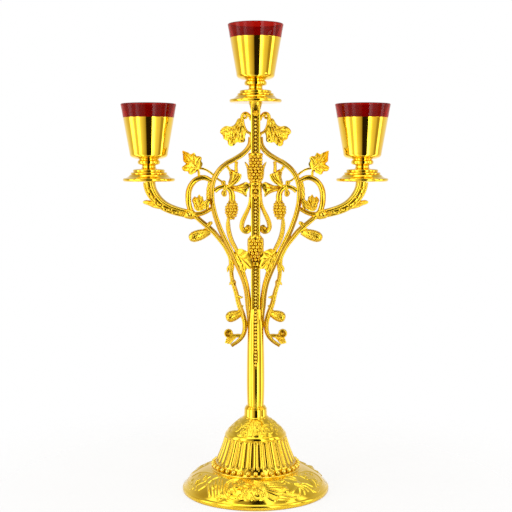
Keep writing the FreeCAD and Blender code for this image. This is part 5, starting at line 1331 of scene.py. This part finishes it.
# each stop is (degrees, brightness): flags by bearing from the front, strips overhead by the roll from straight up
flagStops = [
    (-180, 1.02), (-130, 0.97), (-106, 0.72), (-96, 0.7), (-86, 3.0), (-78, 3.0), (-68, 0.9), (-56, 0.8), (-49, 2.6),
    (-43, 2.6), (-35, 1.0), (-22, 0.72), (-9, 0.42), (-6, 0.02), (21, 0.02), (24, 4.2), (31, 4.2), (39, 1.2), (48, 0.9),
    (62, 0.75), (69, 0.4), (80, 0.4), (87, 3.0), (92, 3.0), (100, 0.75), (120, 0.92), (179, 1.02),
]
stripStops = [
    (-180, 1.5), (-90, 1.5), (-72, 1.5), (-58, 1.2), (-48, 1.1), (-43, 5.0), (-40, 5.0), (-35, 1.2), (-26, 1.0),
    (-21, 1.6), (-17, 5.0), (-14, 5.0), (-10, 1.65), (0, 1.55), (8, 1.5), (14, 1.0), (20, 1.1), (24, 5.0), (27, 5.0),
    (32, 1.4), (38, 1.0), (46, 1.1), (50, 4.5), (53, 4.5), (57, 1.2), (76, 1.5), (90, 1.5), (180, 1.5),
]


def brightnessRamp(tree, stops, across, along):
    turn = mathNode(tree, "ARCTAN2", across, along)
    place = mathNode(tree, "ADD", mathNode(tree, "DIVIDE", turn, 2 * math.pi), 0.5)
    ramp = tree.nodes.new("ShaderNodeValToRGB")
    while len(ramp.color_ramp.elements) < len(stops):
        ramp.color_ramp.elements.new(0.5)
    for element, (degrees, level) in zip(ramp.color_ramp.elements, stops):
        element.position = (degrees + 180) / 360
        warm = max(0.0, 1.0 - level / studio["warmBelow"])  # the shaded parts of the room are warmer
        green, blue = (level * (1 - share * warm) for share in studio["warmth"])
        element.color = (level, green, blue, 1)
    tree.links.new(place, ramp.inputs["Fac"])
    return ramp.outputs["Color"]


def buildWorld():
    world = bpy.data.worlds.new("studioWorld")
    world.use_nodes = True
    scene.world = world
    tree = world.node_tree
    split = tree.nodes.new("ShaderNodeSeparateXYZ")
    tree.links.new(addNode(tree, "ShaderNodeTexCoord").outputs["Generated"], split.inputs[0])
    x, y, z = split.outputs
    above = remap(tree, z, 0.0, 1.0, *studio["strips"], "SMOOTHSTEP")
    flagColour = brightnessRamp(tree, flagStops, x, mathNode(tree, "MULTIPLY", y, -1.0))
    stripColour = brightnessRamp(tree, stripStops, x, z)
    dim = remap(tree, z, *studio["dimTo"], *studio["dimFrom"])  # the room is dimmer towards the ceiling
    room = tree.nodes.new("ShaderNodeBackground")
    wire(tree, (blend(tree, above, flagColour, stripColour), room.inputs["Color"]), (dim, room.inputs["Strength"]))
    ground = addNode(tree, "ShaderNodeBackground", Color=(1, 1, 1, 1), Strength=1.0)
    path = tree.nodes.new("ShaderNodeLightPath")
    seen = mathNode(tree, "MAXIMUM", path.outputs["Is Camera Ray"], path.outputs["Is Transmission Ray"])
    final = mixShader(tree, seen, room, ground)
    tree.links.new(final.outputs[0], tree.nodes["World Output"].inputs["Surface"])


def softLight(name, spot, aim, size, power):
    data = bpy.data.lights.new(name, "AREA")
    data.shape = "RECTANGLE"
    data.size, data.size_y = size
    data.energy = power
    lamp = bpy.data.objects.new(name, data)
    lamp.location = spot
    lamp.rotation_euler = (Vector(aim) - Vector(spot)).to_track_quat("-Z", "Y").to_euler()
    scene.collection.objects.link(lamp)


buildFloor()
buildWorld()
softLight("overheadBox", (0.0, -0.2, 1.6), (0, 0, 0.2), (1.4, 1.0), 3.0)
softLight("leftBox", (-1.3, -1.0, 0.9), (0, 0, 0.25), (0.5, 1.2), 3.5)
softLight("rightBox", (1.3, -0.6, 0.7), (0, 0, 0.25), (0.4, 1.0), 3.0)

photoView = {"lens": 77.6, "sensor": 36.0, "place": (0.0004, -1.1, 0.3284), "pitch": 4.71}
cameraData = bpy.data.cameras.new("photoCamera")
cameraData.lens = photoView["lens"]
cameraData.sensor_width = photoView["sensor"]
camera = bpy.data.objects.new("photoCamera", cameraData)
camera.location = photoView["place"]
camera.rotation_euler = (math.radians(90 - photoView["pitch"]), 0, 0)
scene.collection.objects.link(camera)
scene.camera = camera
print("stage: studio and camera")
